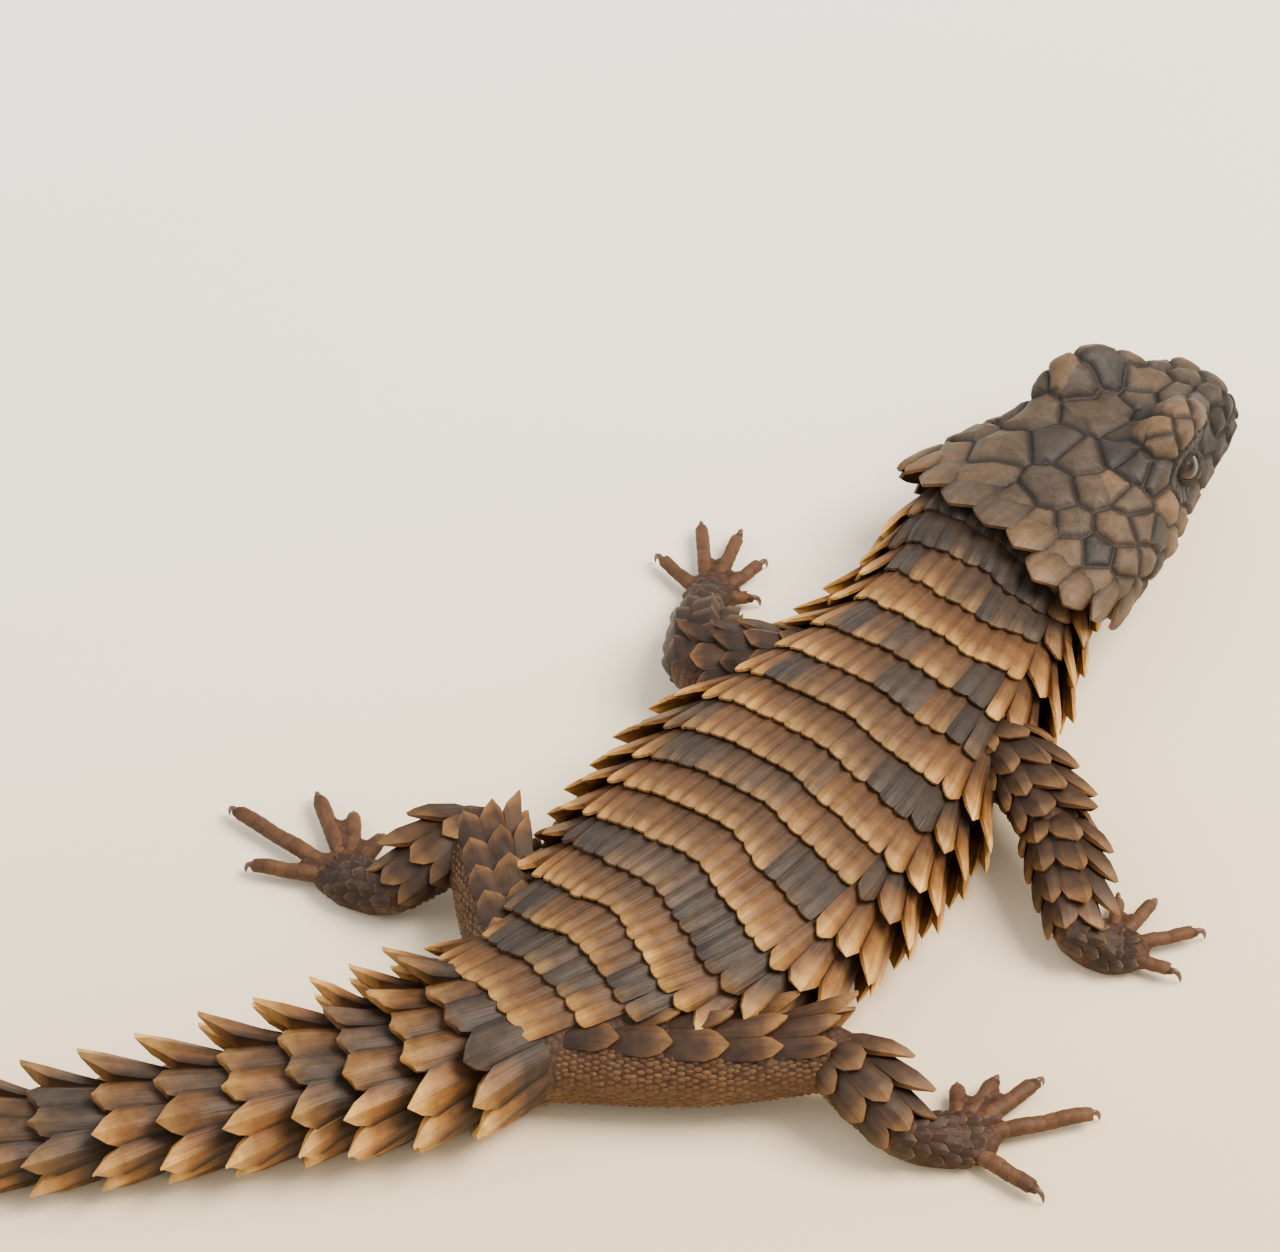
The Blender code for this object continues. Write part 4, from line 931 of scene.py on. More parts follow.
def modelClaw():
    # one hooked claw, lofted: a ring of points drawn out in steps that bend down
    bpy.ops.object.select_all(action="DESELECT")
    steps = claw["steps"]
    ahead, high, size = steps[0]
    bpy.ops.mesh.primitive_circle_add(vertices=claw["sides"], radius=size, fill_type="NGON",
                                      location=(ahead, 0, high), rotation=(0, math.pi / 2, 0))
    obj = bpy.context.object
    bpy.ops.object.transform_apply(location=True, rotation=True, scale=True)
    bpy.ops.object.mode_set(mode="EDIT")
    bpy.ops.mesh.select_all(action="SELECT")
    lean = 0.0
    for (x0, z0, size0), (x, z, size) in zip(steps, steps[1:]):
        bpy.ops.mesh.extrude_region_move(TRANSFORM_OT_translate={"value": (x - x0, 0, z - z0)})
        tilt = math.atan2(z0 - z, x - x0)
        bpy.ops.transform.rotate(value=lean - tilt, orient_axis="Y", center_override=(x, 0, z))
        lean = tilt
        bpy.ops.transform.resize(value=(size / size0,) * 3, center_override=(x, 0, z))
    bpy.ops.mesh.select_all(action="SELECT")
    bpy.ops.transform.resize(value=(1, claw["narrow"], 1), center_override=(0, 0, 0))
    bpy.ops.mesh.normals_make_consistent(inside=False)
    bpy.ops.object.mode_set(mode="OBJECT")
    model = np.array([v.co for v in obj.data.vertices]), [tuple(p.vertices) for p in obj.data.polygons]
    bpy.data.objects.remove(obj)
    return model


clawPoints, clawFaces = modelClaw()


def placeClaw(tip, ahead):
    side = np.array([-ahead[1], ahead[0], 0.0])
    points = np.array([tip[0], tip[1], 0.0]) + clawPoints[:, :1] * ahead + clawPoints[:, 1:2] * side
    points[:, 2] += np.maximum(clawPoints[:, 2], 0.02)
    return points, clawFaces


legCoat, toeCoat = Coat(), Coat()
skinParts, clawParts, limbTubes = [], [], []
toeIndex = 0
for name, limb in limbs.items():
    kind = kindOf(name)
    root, joint, bend, end = [np.array(p) for p in limb["line"]]
    sizes = limbSizes[kind]
    upper = limbTube([root, joint, bend], sizes["upper"])
    lower = limbTube([bend, (bend + end) / 2 + np.array([0, 0, 0.3]), end], sizes["lower"])
    skinParts.append(tubeLoft(upper, 0.8, 28, stretch=(0.9, 0.7)))
    skinParts.append(tubeLoft(lower, 0.8, 24, stretch=(0.6, 0.9)))
    for part, tube in enumerate((upper, lower)):
        layLimb(legCoat, tube, legs["rows"][kind][part], name, len(limbTubes), part)
        limbTubes.append(tube)
    # palm or sole
    wide = sizes["palm"]
    centre = np.array([*limb["palm"], 1.35])
    back = unit(np.array([centre[0] - end[0], centre[1] - end[1], 0.0]))
    line = [end - back * 0.8, (end + centre) / 2 + np.array([0, 0, 0.1]), centre, centre + back * 2.2]
    palm = BodyTube(line, [(0, 1, 1, -1)])
    palm.sizes = np.array([(0.0, 1.6, 1.6, -1.5), (0.35 * palm.length, wide * 0.8, 1.6, -2.6),
                           (0.7 * palm.length, wide, 1.35, -1.8), (palm.length, wide * 0.7, 0.8, -1.2)])
    skinParts.append(tubeLoft(palm, 0.6, 24, stretch=(0.3, 0.6)))
    pitch, arc, width, stagger = toes["palm"].values()
    for k in range(int(palm.length / pitch)):
        start = k * pitch
        angle, half = spread(palm, start + 0.5, arc, lambda a: np.full(a.shape, width), stagger if k % 2 else -stagger)
        tone = draw.uniform(0.0, 0.6, len(angle))
        bake = (0.02 + 0.3 * start / palm.length, 0.86 + 0.02 * toeIndex / 5 + (angle + 101) / 8000, 0.015, 0.003)
        toeCoat.lay("limb", palm.pointAt, np.full(len(angle), start - 0.3), pitch * 1.45, angle, half, 0.0, 0.3, 0.0,
                    legColour(tone, 0.35), bake, size=0.6)
    across = np.array([back[1], -back[0], 0.0])
    for tip in limb["toes"]:
        aim = unit(np.array([tip[0] - centre[0], tip[1] - centre[1], 0.0]))
        start = centre + aim * (wide * 0.35) + across * (across @ aim * 0.5)
        tube, ahead = toeTube(start, tip, sizes["toe"])
        skinParts.append(tubeLoft(tube, 0.45, 14, 0.05, (0.0, 0.8)))
        layToe(toeCoat, tube, (0.02 + 0.24 * (toeIndex % 4), 0.02 + 0.16 * (toeIndex // 4), 0.22, 0.14))
        clawParts.append(placeClaw(tip, ahead))
        toeIndex += 1

legScales = legCoat.build("leg_scales")
toeScales = toeCoat.build("toe_scales")


def joined(name, parts):
    verts, faces, offset = [], [], 0
    for v, f in parts:
        verts.append(v)
        faces += [tuple(i + offset for i in face) for face in f]
        offset += len(v)
    return meshPiece(name, np.concatenate(verts), faces)


claws = joined("claws", clawParts)
facingOut(claws)


skin = {"voxel": 0.45, "smooth": 5, "trunkStep": 1.2, "trunkSides": 64, "trunkFrom": 21.0, "floorGap": 0.02}
skinParts.append(tubeLoft(trunkTube, skin["trunkStep"], skin["trunkSides"],
                          lambda s: -0.12 - 0.9 * (1 - ramp(s, 27, 31.5)), (0.0, 0.9), skin["trunkFrom"]))
bodySkin = joined("body_skin", skinParts)
facingOut(bodySkin)
applyModifier(bodySkin, "REMESH", mode="VOXEL", voxel_size=skin["voxel"] * mm)
applyModifier(bodySkin, "SMOOTH", factor=0.5, iterations=skin["smooth"])
coords = np.empty(len(bodySkin.data.vertices) * 3, np.float32)
bodySkin.data.vertices.foreach_get("co", coords)
coords = coords.reshape(-1, 3)
coords[:, 2] = np.maximum(coords[:, 2], skin["floorGap"] * mm)
bodySkin.data.vertices.foreach_set("co", coords.ravel())
bodySkin.data.update()
smoothFaces(bodySkin.data)
print("body skin", len(bodySkin.data.polygons), "faces")


def farFrom(points, tube, raised=0.0, step=1.0):
    # distance from points to a tube's line
    line = tube.centreAt(np.arange(0, tube.length + step, step)) + np.array([0, 0, raised])
    return np.min([np.linalg.norm(points - p, axis=1) for p in line], axis=0)


normals = np.empty(len(bodySkin.data.vertices) * 3, np.float32)
bodySkin.data.vertex_normals.foreach_get("vector", normals)
upward = normals.reshape(-1, 3)[:, 2]
points = coords / mm + middle
limbDistance = np.min([farFrom(points, tube) for tube in limbTubes], axis=0)
onLimb = ramp(farFrom(points, trunkTube, 5.5) - limbDistance, 2.0, 6.0)[:, None]
isFoot = ramp(-points[:, 2], -2.6, -1.6)[:, None] * (onLimb > 0.5)
# the skin on the back takes the groove colour, painted shade where it shows between the scales; skin facing down takes
# the belly colour
backColour = mix(hues["groove"] * 1.3, hues["belly"] * 0.75, ramp(-upward, -0.1, 0.5)[:, None])
legSkin = mix(hues["ochre"] * 0.9, hues["legBrown"], ramp(upward, -0.2, 0.7)[:, None])
skinColour = mix(mix(backColour, legSkin, onLimb), hues["rust"] * 0.8, isFoot)
paint(bodySkin, "tint", skinColour)


headPlates = {
    # each plate by one or more seeds: place, angle and tone, where 0 is dark grey, 1 tan and more is pale, and below 0
    # is painted shadow going to black, on the right side of the snout
    "plates": [
        [(0.3, 0, 0.2), (0.2, 40, 0.1), (0.2, -40, 0.3)], [(2.0, -20, 0.65)], [(2.1, 24, 0.4)], [(3.9, 2, 0.45)],
        [(4.2, -34, 0.4)], [(4.4, 36, 0.3)], [(6.2, -36, 0.6)], [(6.4, 34, 0.35)], [(6.9, -8, 0.6), (8.4, -11, 0.5)],
        [(6.9, 12, 0.5), (8.2, 14, 0.45)], [(10.0, 0, 0.42)],
        [(14.9, -9, 0.45), (12.8, -4, 0.42), (14.9, 1, 0.42)],
        [(13.2, -37, 0.85), (13.8, -30, 0.7), (13.3, -22, 0.3)], [(9.6, -37, 0.75), (9.8, -29, 0.1), (10.0, -20, 0.0)],
        [(15.0, 32, 0.85), (15.2, 24, 0.7), (15.2, 16, 0.3)], [(11.8, 32, 0.8), (11.6, 24, 0.5), (11.4, 15, 0.05)],
        [(15.9, 39, 0.62)], [(13.2, 44, 0.6)], [(10.2, 43, 0.55)], [(14.6, -47, 0.4)], [(11.8, -49, 0.45)],
        [(8.8, -48, 0.45)], [(17.7, -33, 0.5)], [(20.3, -6, 0.16)], [(20.2, 9, 0.42)], [(18.0, 20, 0.05)],
        [(23.3, -26, 0.55), (22.8, -20, 0.5)], [(21.4, -60, 0.5)], [(17.4, -56, 0.3)], [(25.3, -50, 0.65)],
        [(27.0, -14, 0.6)], [(28.4, 2, 0.5)], [(25.2, 7, 0.4), (25.6, 12, 0.42)], [(28.8, 17, 0.6)],
        [(27.3, 27, 0.5)], [(22.8, 25, 0.5), (21.4, 32, 0.8)], [(21.3, 44, 0.5)], [(24.6, 49, 0.7)],
        [(28.0, 50, 0.05)], [(29.6, 38, 0.65)], [(26.6, 69, 0.6)], [(29.6, 64, 0.6)], [(22.4, 63, 0.55)],
        [(18.6, 35, 0.05)], [(17.6, 50, 0.12)], [(17.9, 72, 0.85)], [(21.6, 77, 0.1)], [(24.2, 84, 0.5)],
        [(18.0, -72, 0.7)], [(21.8, -77, 0.5)], [(24.4, -82, 0.5)], [(26.0, -66, 0.6)],
        [(5.6, 62, -0.5)], [(5.6, -62, 0.1)], [(8.2, 66, -0.5)], [(8.2, -66, 0.05)], [(3.2, 62, -0.4)],
        [(3.2, -62, 0.1)],
    ],
    "lips": {"places": (0.9, 3.4, 6.2, 9.4, 12.8, 16.2, 19.4), "above": 1.05, "under": 1.0,
             "tones": {1: (-0.4, -0.4, -0.2, 0.1, 0.4, 0.7, 0.75), -1: (-0.1, 0.0, 0.2, 0.3, 0.5, 0.7, 0.75)}},
    "cheeks": [(22.6, 100, 0.15), (24.6, 106, 0.5), (26.4, 96, 0.55), (28.0, 84, 0.5), (24.4, 120, 0.55),
               (28.2, 112, 0.5)],
    "throat": {"places": (3.0, 33.0, 1.7), "tone": 0.8},
    # rings of small scales round each eye: size beside the opening, how many, and how far turned
    "lids": [(1.32, 14, 0.0), (1.95, 16, 0.5)],
    # nostrils and ears: place, angle, width and depth
    "pits": [(2.1, 60, 0.42, 0.6), (2.1, -60, 0.42, 0.6), (24.6, 98, 0.8, 1.1), (23.4, -98, 0.8, 1.1)],
    "step": 0.155,
    "around": 372,
    "crown": 0.15,
    "groove": 0.16,
    "grooveWidth": (0.07, 0.08, 0.2),  # as a share of the plate, at least and at most
    "axis": 7.6,  # height of the line that the skin is drawn in to at the snout
    "snout": 1.9,
    "mouth": {"fold": 0.2, "depth": 0.55, "lip": 0.22, "lipAt": 0.6, "lipWidth": 0.35, "ends": (19.6, 20.8)},
    "tuck": (0.7, 1.8),  # the last length of the skin, and how far it turns in under the rear scales
    # painted shade colours: a near black for tones below 0, a dark seam for the grooves between plates, and the darkest
    # for the shadow round the eyes
    "shadowBlack": linear("#1c1917"), "seam": linear("#241f1c"), "orbitShadow": linear("#0c0a09"),
}
# broad pointed scales along the rear edge of the head: angle, half width, place of the point, lift and tone
rearSpines = [
    (-106, 9.4, 26.0, 0.4, 0.6), (-88, 9.4, 27.4, 0.5, 0.7), (-70, 9.4, 28.5, 0.6, 0.8), (-52, 9.4, 29.7, 0.8, 0.95),
    (-33, 9.8, 31.0, 0.8, 0.65), (-14, 9.6, 32.0, 0.7, 0.55), (3, 8.6, 32.4, 0.7, 0.55), (19, 8.6, 33.0, 0.8, 1.0),
    (38, 10.2, 34.7, 0.9, 0.85), (59, 10.6, 34.5, 0.9, 0.75), (79, 9.6, 33.0, 0.8, 0.7), (98, 9.6, 30.8, 0.5, 0.6),
]
spineAngles, spineHalves, spineTips, spineLifts, spineTones = [np.array(v, float) for v in zip(*rearSpines)]
skinTo = 31.0  # where the skin ends under the head
stretchFrom = 19.0  # behind this place the skin is stretched to its end


def mouthAt(s):
    return np.interp(s, *zip(*head["mouth"]))


def angleForHeight(s, height, side):
    # the angle at which a section of the head reaches a height
    _, top, bottom = headTube.sizeAt(s)
    high = np.clip((height - (top + bottom) / 2) / ((top - bottom) / 2), -0.98, 0.98)
    return side * math.degrees(math.acos(np.sign(high) * abs(high) ** (headTube.power / 2)))


plates = list(headPlates["plates"])
lips = headPlates["lips"]
for side in (1, -1):
    for s, tone in zip(lips["places"], lips["tones"][side]):
        line = mouthAt(s)
        plates.append([(s, angleForHeight(s, line + lips["above"], side), tone)])
        plates.append([(s + 0.6, angleForHeight(s, line - lips["under"], side), tone * 0.9 + 0.05)])
    plates += [[(s, side * angle, tone)] for s, angle, tone in headPlates["cheeks"]]
for k, s in enumerate(np.arange(*headPlates["throat"]["places"])):
    width = 24 + 30 * min(s / 12, 1.0)
    count = int(5 + 6 * min(s / 14, 1.0))
    for angle in np.linspace(180 - width, 180 + width, count) + (3 if k % 2 else 0):
        plates.append([(s, angle, headPlates["throat"]["tone"])])


def eyeFrame(side):
    # the middle of an eye, and its directions outward, forward and upward
    s, across, height = head["eyePlace"]
    s += side * head["skew"] * 0.8
    heading, right, up = headTube.frameAt(s)
    centre = headTube.centreAt(s) + right * side * across + up * height
    outward = unit(right * side + up * 0.22 - heading * 0.1)
    ahead = unit(heading - outward * (heading @ outward))
    return centre, outward, ahead, unit(np.cross(outward, ahead)) * side


seeds = [(headPoint(s, angle), tone, k) for k, plate in enumerate(plates) for s, angle, tone in plate]
lidFrom = plateCount = len(plates)
for side in (1, -1):
    centre, outward, ahead, over = eyeFrame(side)
    for radius, count, shift in headPlates["lids"]:
        for k in range(count):
            turn = 2 * math.pi * (k + shift) / count
            wide, tall = [size * radius for size in head["eyeOpening"]]
            place = centre + ahead * math.cos(turn) * wide + over * math.sin(turn) * tall
            place = place + outward * (2.2 - 0.45 * (radius - 1.2))
            # the lid rings take tones below 0: painted shadow round the eye
            seeds.append((place, draw.uniform(-0.4, -0.05), plateCount + k))
        plateCount += count
seedPoints, seedTones, seedPlate = [np.array(v) for v in zip(*seeds)]

around = headPlates["around"]
places = np.concatenate([np.linspace(0, 1, 10)[:-1] ** 1.5, np.arange(1, 33.0, headPlates["step"])])
gridS, gridA = np.meshgrid(places, np.arange(around) * 360 / around, indexing="ij")
turned = signedAngle(gridA)
# the skin of the head ends under the scales of its rear edge
rearEnd = np.interp(turned, [-180, *spineAngles, 180], [skinTo, *spineTips, skinTo]) - 2.0
stretched = stretchFrom + (gridS - stretchFrom) * (rearEnd - stretchFrom) / (places[-1] - stretchFrom)
gridS = np.where(gridS > stretchFrom, stretched, gridS)
surface = headPoint(gridS, gridA)
# the snout closes in a rounded front
snout = np.sqrt(np.clip(1 - (1 - np.clip(places / headPlates["snout"], 0, 1)) ** 2, 0, 1))[:, None, None]
centreLine = headTube.centreAt(gridS) + headTube.frameAt(gridS)[2] * headPlates["axis"]
surface = centreLine + (surface - centreLine) * np.maximum(snout, 0.02)
acrossTangent = np.roll(surface, -1, 1) - np.roll(surface, 1, 1)
headNormal = unit(np.cross(acrossTangent, np.gradient(surface, axis=0)))
headNormal *= np.sign((headNormal * unit(surface - centreLine)).sum(-1, keepdims=True))
headNormal = headNormal.reshape(-1, 3)

# the nearest seed of each point, and the nearest of another plate, give the borders between plates
flatPoints = surface.reshape(-1, 3)
flatS, flatA = gridS.reshape(-1), turned.reshape(-1)
distances = np.stack([np.linalg.norm(flatPoints - p, axis=1) for p in seedPoints], 1).astype(np.float32)
distances[:, seedPlate >= lidFrom] *= 1.3
each = np.arange(len(flatPoints))
first = np.argmin(distances, axis=1)
nearest = distances[each, first]
distances[seedPlate[first][:, None] == seedPlate[None]] = 1e6
second = np.argmin(distances, axis=1)
other = distances[each, second]
apart = np.maximum(np.linalg.norm(seedPoints[first] - seedPoints[second], axis=1), 0.4)
border = np.clip((other**2 - nearest**2) / (2 * apart), 0, None)
pillow = 1 - (1 - np.clip(border / (0.5 * apart), 0, 1)) ** 2.2
share, least, most = headPlates["grooveWidth"]
grooveWidth = np.clip(apart * share, least, most)
relief = headPlates["crown"] * np.minimum(apart, 4.2) * (pillow - 0.55)
relief -= headPlates["groove"] * np.clip(apart / 3, 0.4, 1) * np.exp(-(border / grooveWidth) ** 2)
# the mouth is a fold between two low lips
axisHeight = ((flatPoints - headTube.centreAt(flatS)) * headTube.frameAt(flatS)[2]).sum(-1)
mouth = headPlates["mouth"]
gape = np.abs(axisHeight - mouthAt(flatS))
mouthEnds = 1 - ramp(flatS, *mouth["ends"])
mouthIn = np.exp(-(gape / mouth["fold"]) ** 2) * mouthEnds
lip = np.exp(-((gape - mouth["lipAt"]) / mouth["lipWidth"]) ** 2)
relief += mouth["lip"] * lip * mouthEnds - mouth["depth"] * mouthIn
headPoints = flatPoints + headNormal * relief[:, None]
pits, eyeDark, orbitShadow = np.zeros((3, len(flatPoints)))
for s, angle, wide, deep in headPlates["pits"]:
    pit = np.exp(-(np.linalg.norm(flatPoints - headPoint(s, angle), axis=1) / wide) ** 4)
    headPoints -= headNormal * (pit * deep)[:, None]
    pits = np.maximum(pits, pit)
# the skin hugs each eye ball and leaves a slit open
for side in (1, -1):
    centre, outward, ahead, over = eyeFrame(side)
    q = flatPoints - centre
    rho = np.sqrt((q @ ahead / head["eyeOpening"][0]) ** 2 + (q @ over / head["eyeOpening"][1]) ** 2)
    near = (q @ outward > 0.2) & (rho < 2.7)
    radial = unit(headPoints - centre)
    reach = mix(1.2, head["eyeRadius"] + 0.34, ramp(rho, 0.88, 1.12))
    hug = np.where(near, ramp(-rho, -2.6, -1.5), 0.0)
    target = centre + radial * reach[:, None] + (relief * 0.7)[:, None] * radial * ramp(rho, 1.1, 1.5)[:, None]
    headPoints = mix(headPoints, target, hug[:, None])
    eyeDark = np.maximum(eyeDark, np.where(near, ramp(-rho, -1.25, -0.98), 0))
    orbitShadow = np.maximum(orbitShadow, np.where(near, ramp(-rho, -2.7, -1.4), 0))
# the last rings turn in under the rear scales
last, inward = headPlates["tuck"]
sink = np.clip((places - (places[-1] - last)) / last, 0, 1)
headPoints -= headNormal * np.repeat(sink**1.5 * inward, around)[:, None]
headSkin = meshPiece("head_skin", headPoints, ringFaces(len(places), around))
facingOut(headSkin)


def plateColour(tone):
    tone = tone[..., None]
    low = mix(hues["plateGrey"] * 0.8, hues["taupe"] * 0.85, np.clip(tone / 0.4, 0, 1))
    # tones below 0 go to black: painted shadow
    low = mix(low, headPlates["shadowBlack"], np.clip(-tone / 0.4, 0, 1))
    high = mix(hues["taupe"], hues["headTan"], np.clip((tone - 0.45) / 0.45, 0, 1))
    return mix(low, high, ramp(tone, 0.25, 0.6))


tone = seedTones[first] + 0.05 * np.sin(flatPoints[:, 0] * 2.1 + 1) * np.sin(flatPoints[:, 1] * 2.7)
# painted light and shade on the domed plates: the crowns lighter and the edges darker, with painted shade in the seams
# between plates
headColour = plateColour(tone + 0.2 * (pillow - 0.6) * (tone > 0)) * mix(0.55, 1.0, ramp(border, 0.0, 0.6))[:, None]
headColour = mix(headPlates["seam"], headColour, ramp(border, 0.02, 0.24)[:, None])
# painted shadow round each eye
headColour = mix(headColour, headPlates["orbitShadow"], (orbitShadow * 0.93)[:, None])
# painted shade in the mouth fold, the nostrils, the ear pits and at the rims of the eye openings
headColour = mix(headColour, hues["groove"] * 0.5, np.maximum.reduce([mouthIn, pits, eyeDark])[:, None])
under = (ramp(np.abs(flatA), 118, 140) * ramp(mouthAt(flatS) - axisHeight, 0.5, 1.5))[:, None]
headColour = mix(headColour, mix(hues["belly"], headColour, 0.35), under)
paint(headSkin, "tint", headColour)
print("head_skin", len(headSkin.data.polygons), "faces")

scaleShapes["rear"] = {
    "columns": 6, "thick": 0.32, "point": (0.0, 0.0, 0.0, 0.02, 0.03, 0.02, 0.01),
    "stations": [(0.0, 0.9, -0.55, 0.0, 0.0), (0.16, 0.99, -0.12, 0.02, 0.04), (0.42, 1.08, 0.12, 0.06, 0.16),
                 (0.68, 1.12, 0.2, 0.12, 0.2), (0.8, 0.88, 0.2, 0.16, 0.16), (0.91, 0.48, 0.14, 0.14, 0.1),
                 (1.0, 0.07, 0.04, 0.04, 0.01)],
}
scaleModels["rear"] = modelScale(scaleShapes["rear"])
rear = {"length": 5.2, "wider": 1.1, "lift": 0.12, "rise": 0.75, "out": 0.45, "outFrom": (30, 80), "cup": 0.24}


def rearColour(t, a):
    # painted shade: darker at the root, where the scale meets the head, and at the sides
    tint = plateColour(np.broadcast_to(spineTones[:, None], t.shape)) * mix(0.8, 1.12, ramp(t, 0.25, 0.9))[..., None]
    tint = mix(headPlates["seam"], tint, (0.1 + 0.9 * ramp(t, 0.08, 0.26))[..., None])
    return tint * (1 - 0.5 * (np.abs(a) ** 5)[..., None])


spineCoat = Coat()
spineCoat.lay("rear", headPoint, spineTips - rear["length"], rear["length"], spineAngles, spineHalves * rear["wider"],
              rear["lift"], spineLifts * rear["rise"], rear["out"] * ramp(np.abs(spineAngles), *rear["outFrom"]),
              rearColour,
              (0.1, 0.5 + spineAngles / 372, 0.6, 0.86 * 2 * spineHalves / 372), cup=rear["cup"])
headSpines = spineCoat.build("head_spines")

eye = {
    "cornea": (0.09, 0.72),  # how far it stands out, and where it starts, as shares of the radius
    "squash": 0.95,  # of the pupil, upward
    "pupil": linear("#070504"), "iris": linear("#2c1a0d"), "rim": linear("#0d0806"), "back": linear("#0c0807"),
}
eyeBalls = []
for side, name in ((1, "eye_ball_right"), (-1, "eye_ball_left")):
    centre, outward, ahead, over = eyeFrame(side)
    radius = head["eyeRadius"] * mm
    bpy.ops.object.select_all(action="DESELECT")
    bpy.ops.mesh.primitive_uv_sphere_add(segments=40, ring_count=24, radius=radius)
    ball = bpy.context.object
    ball.name = name
    co = np.array([v.co for v in ball.data.vertices])
    high, begin = eye["cornea"]
    co[:, 2] += high * radius * np.clip((co[:, 2] / radius - begin) / (1 - begin), 0, 1) ** 1.5
    placed = co[:, :1] * ahead + co[:, 1:2] * over + co[:, 2:] * outward + (centre - middle) * mm
    ball.data.vertices.foreach_set("co", placed.astype(np.float32).ravel())
    ball.data.update()
    facingOut(ball)
    fromPupil = np.hypot(co[:, 0], co[:, 1] * eye["squash"]) / radius
    tint = mix(eye["pupil"], eye["iris"], ramp(fromPupil, 0.26, 0.32)[:, None])
    tint = mix(tint, eye["rim"], ramp(fromPupil, 0.46, 0.56)[:, None])
    tint[co[:, 2] / radius < 0.3] = eye["back"]
    paint(ball, "tint", tint)
    smoothFaces(ball.data)
    eyeBalls.append(ball)
print("eyes")


def addNode(tree, kind, settings=None, links=None):
    # a node with its settings, and links from sockets of other nodes to its inputs
    node = tree.nodes.new(kind)
    for key, value in (settings or {}).items():
        if isinstance(key, str) and hasattr(node, key):
            setattr(node, key, value)
        else:
            node.inputs[key].default_value = value
    for key, source in (links or {}).items():
        tree.links.new(source, node.inputs[key])
    return node


def newMaterial(name, roughness, **sockets):
    material = bpy.data.materials.new(name)
    material.use_nodes = True
    shader = material.node_tree.nodes["Principled BSDF"]
    shader.inputs["Roughness"].default_value = roughness
    for key, value in sockets.items():
        shader.inputs[key.replace("_", " ")].default_value = value
    return material, material.node_tree, shader


def colourAndBump(tree, shader, factors, height, strength, distance):
    # the tint of each scale times a factor from each texture, then the bump. A factor is a texture's value, the
    # range of it that counts, and the factor at both ends.
    tint = addNode(tree, "ShaderNodeAttribute", {"attribute_name": "tint"})
    product = None
    for source, low, high, first, last in factors:
        share = addNode(tree, "ShaderNodeMapRange",
                        {"From Min": low, "From Max": high, "To Min": first, "To Max": last}, {"Value": source})
        share = share.outputs["Result"]
        if product is not None:
            share = addNode(tree, "ShaderNodeMath", {"operation": "MULTIPLY"}, {0: product, 1: share}).outputs[0]
        product = share
    coloured = addNode(tree, "ShaderNodeVectorMath", {"operation": "SCALE"},
                       {0: tint.outputs["Color"], "Scale": product})
    tree.links.new(coloured.outputs[0], shader.inputs["Base Color"])
    raised = addNode(tree, "ShaderNodeBump", {"Strength": strength, "Distance": distance}, {"Height": height})
    tree.links.new(raised.outputs["Normal"], shader.inputs["Normal"])


def hornScale(name, striae, roughness, bump, spread=0.12):
    # Keratin grown in ridges: each scale has fine grooves from root to point, dull with a soft waxy sheen.
    # The grooves lie 0.2 to 0.4 mm apart, the mottling is 1.1 mm across and the blotches 3.8 mm.
    material, tree, shader = newMaterial(name, roughness, Specular_IOR_Level=0.22)
    uv = addNode(tree, "ShaderNodeUVMap", {"uv_map": "grain"})
    stretch = addNode(tree, "ShaderNodeMapping", {"Scale": (striae, 0.8, 1.0)}, {"Vector": uv.outputs["UV"]})
    ridges = addNode(tree, "ShaderNodeTexNoise", {"Scale": 1.0, "Detail": 3.0, "Roughness": 0.6},
                     {"Vector": stretch.outputs["Vector"]})
    place = addNode(tree, "ShaderNodeTexCoord").outputs["Object"]
    mottle = addNode(tree, "ShaderNodeTexNoise", {"Scale": 900.0, "Detail": 4.0, "Roughness": 0.6}, {"Vector": place})
    blotch = addNode(tree, "ShaderNodeTexNoise", {"Scale": 260.0, "Detail": 3.0}, {"Vector": place})
    colourAndBump(tree, shader, [(ridges.outputs["Fac"], 0.35, 0.65, 1 - spread, 1 + spread),
                                 (mottle.outputs["Fac"], 0.3, 0.7, 0.72, 1.22),
                                 (blotch.outputs["Fac"], 0.3, 0.7, 0.8, 1.15)], ridges.outputs["Fac"], bump, 0.00012)
    return material


def granularSkin(name, grain, roughness, bump):
    # Skin of small round scales: a pebbled surface with dark seams, dull and dry.
    # The pebbles are 0.7 mm across and the mottling 0.8 mm.
    material, tree, shader = newMaterial(name, roughness, Specular_IOR_Level=0.2)
    place = addNode(tree, "ShaderNodeTexCoord").outputs["Object"]
    pebbles = addNode(tree, "ShaderNodeTexVoronoi", {"Scale": grain, "Randomness": 0.8}, {"Vector": place})
    mottle = addNode(tree, "ShaderNodeTexNoise", {"Scale": 1200.0, "Detail": 4.0, "Roughness": 0.65},
                     {"Vector": place})
    low = addNode(tree, "ShaderNodeMapRange", {"From Min": 0.0, "From Max": 0.8, "To Min": 1.0, "To Max": 0.0},
                  {"Value": pebbles.outputs["Distance"]})
    height = addNode(tree, "ShaderNodeMath", {"operation": "MULTIPLY_ADD", 1: 0.35},
                     {0: mottle.outputs["Fac"], 2: low.outputs["Result"]})
    colourAndBump(tree, shader, [(pebbles.outputs["Distance"], 0.2, 0.75, 1.1, 0.6),
                                 (mottle.outputs["Fac"], 0.3, 0.7, 0.75, 1.2)], height.outputs[0], bump, 0.00015)
    return material


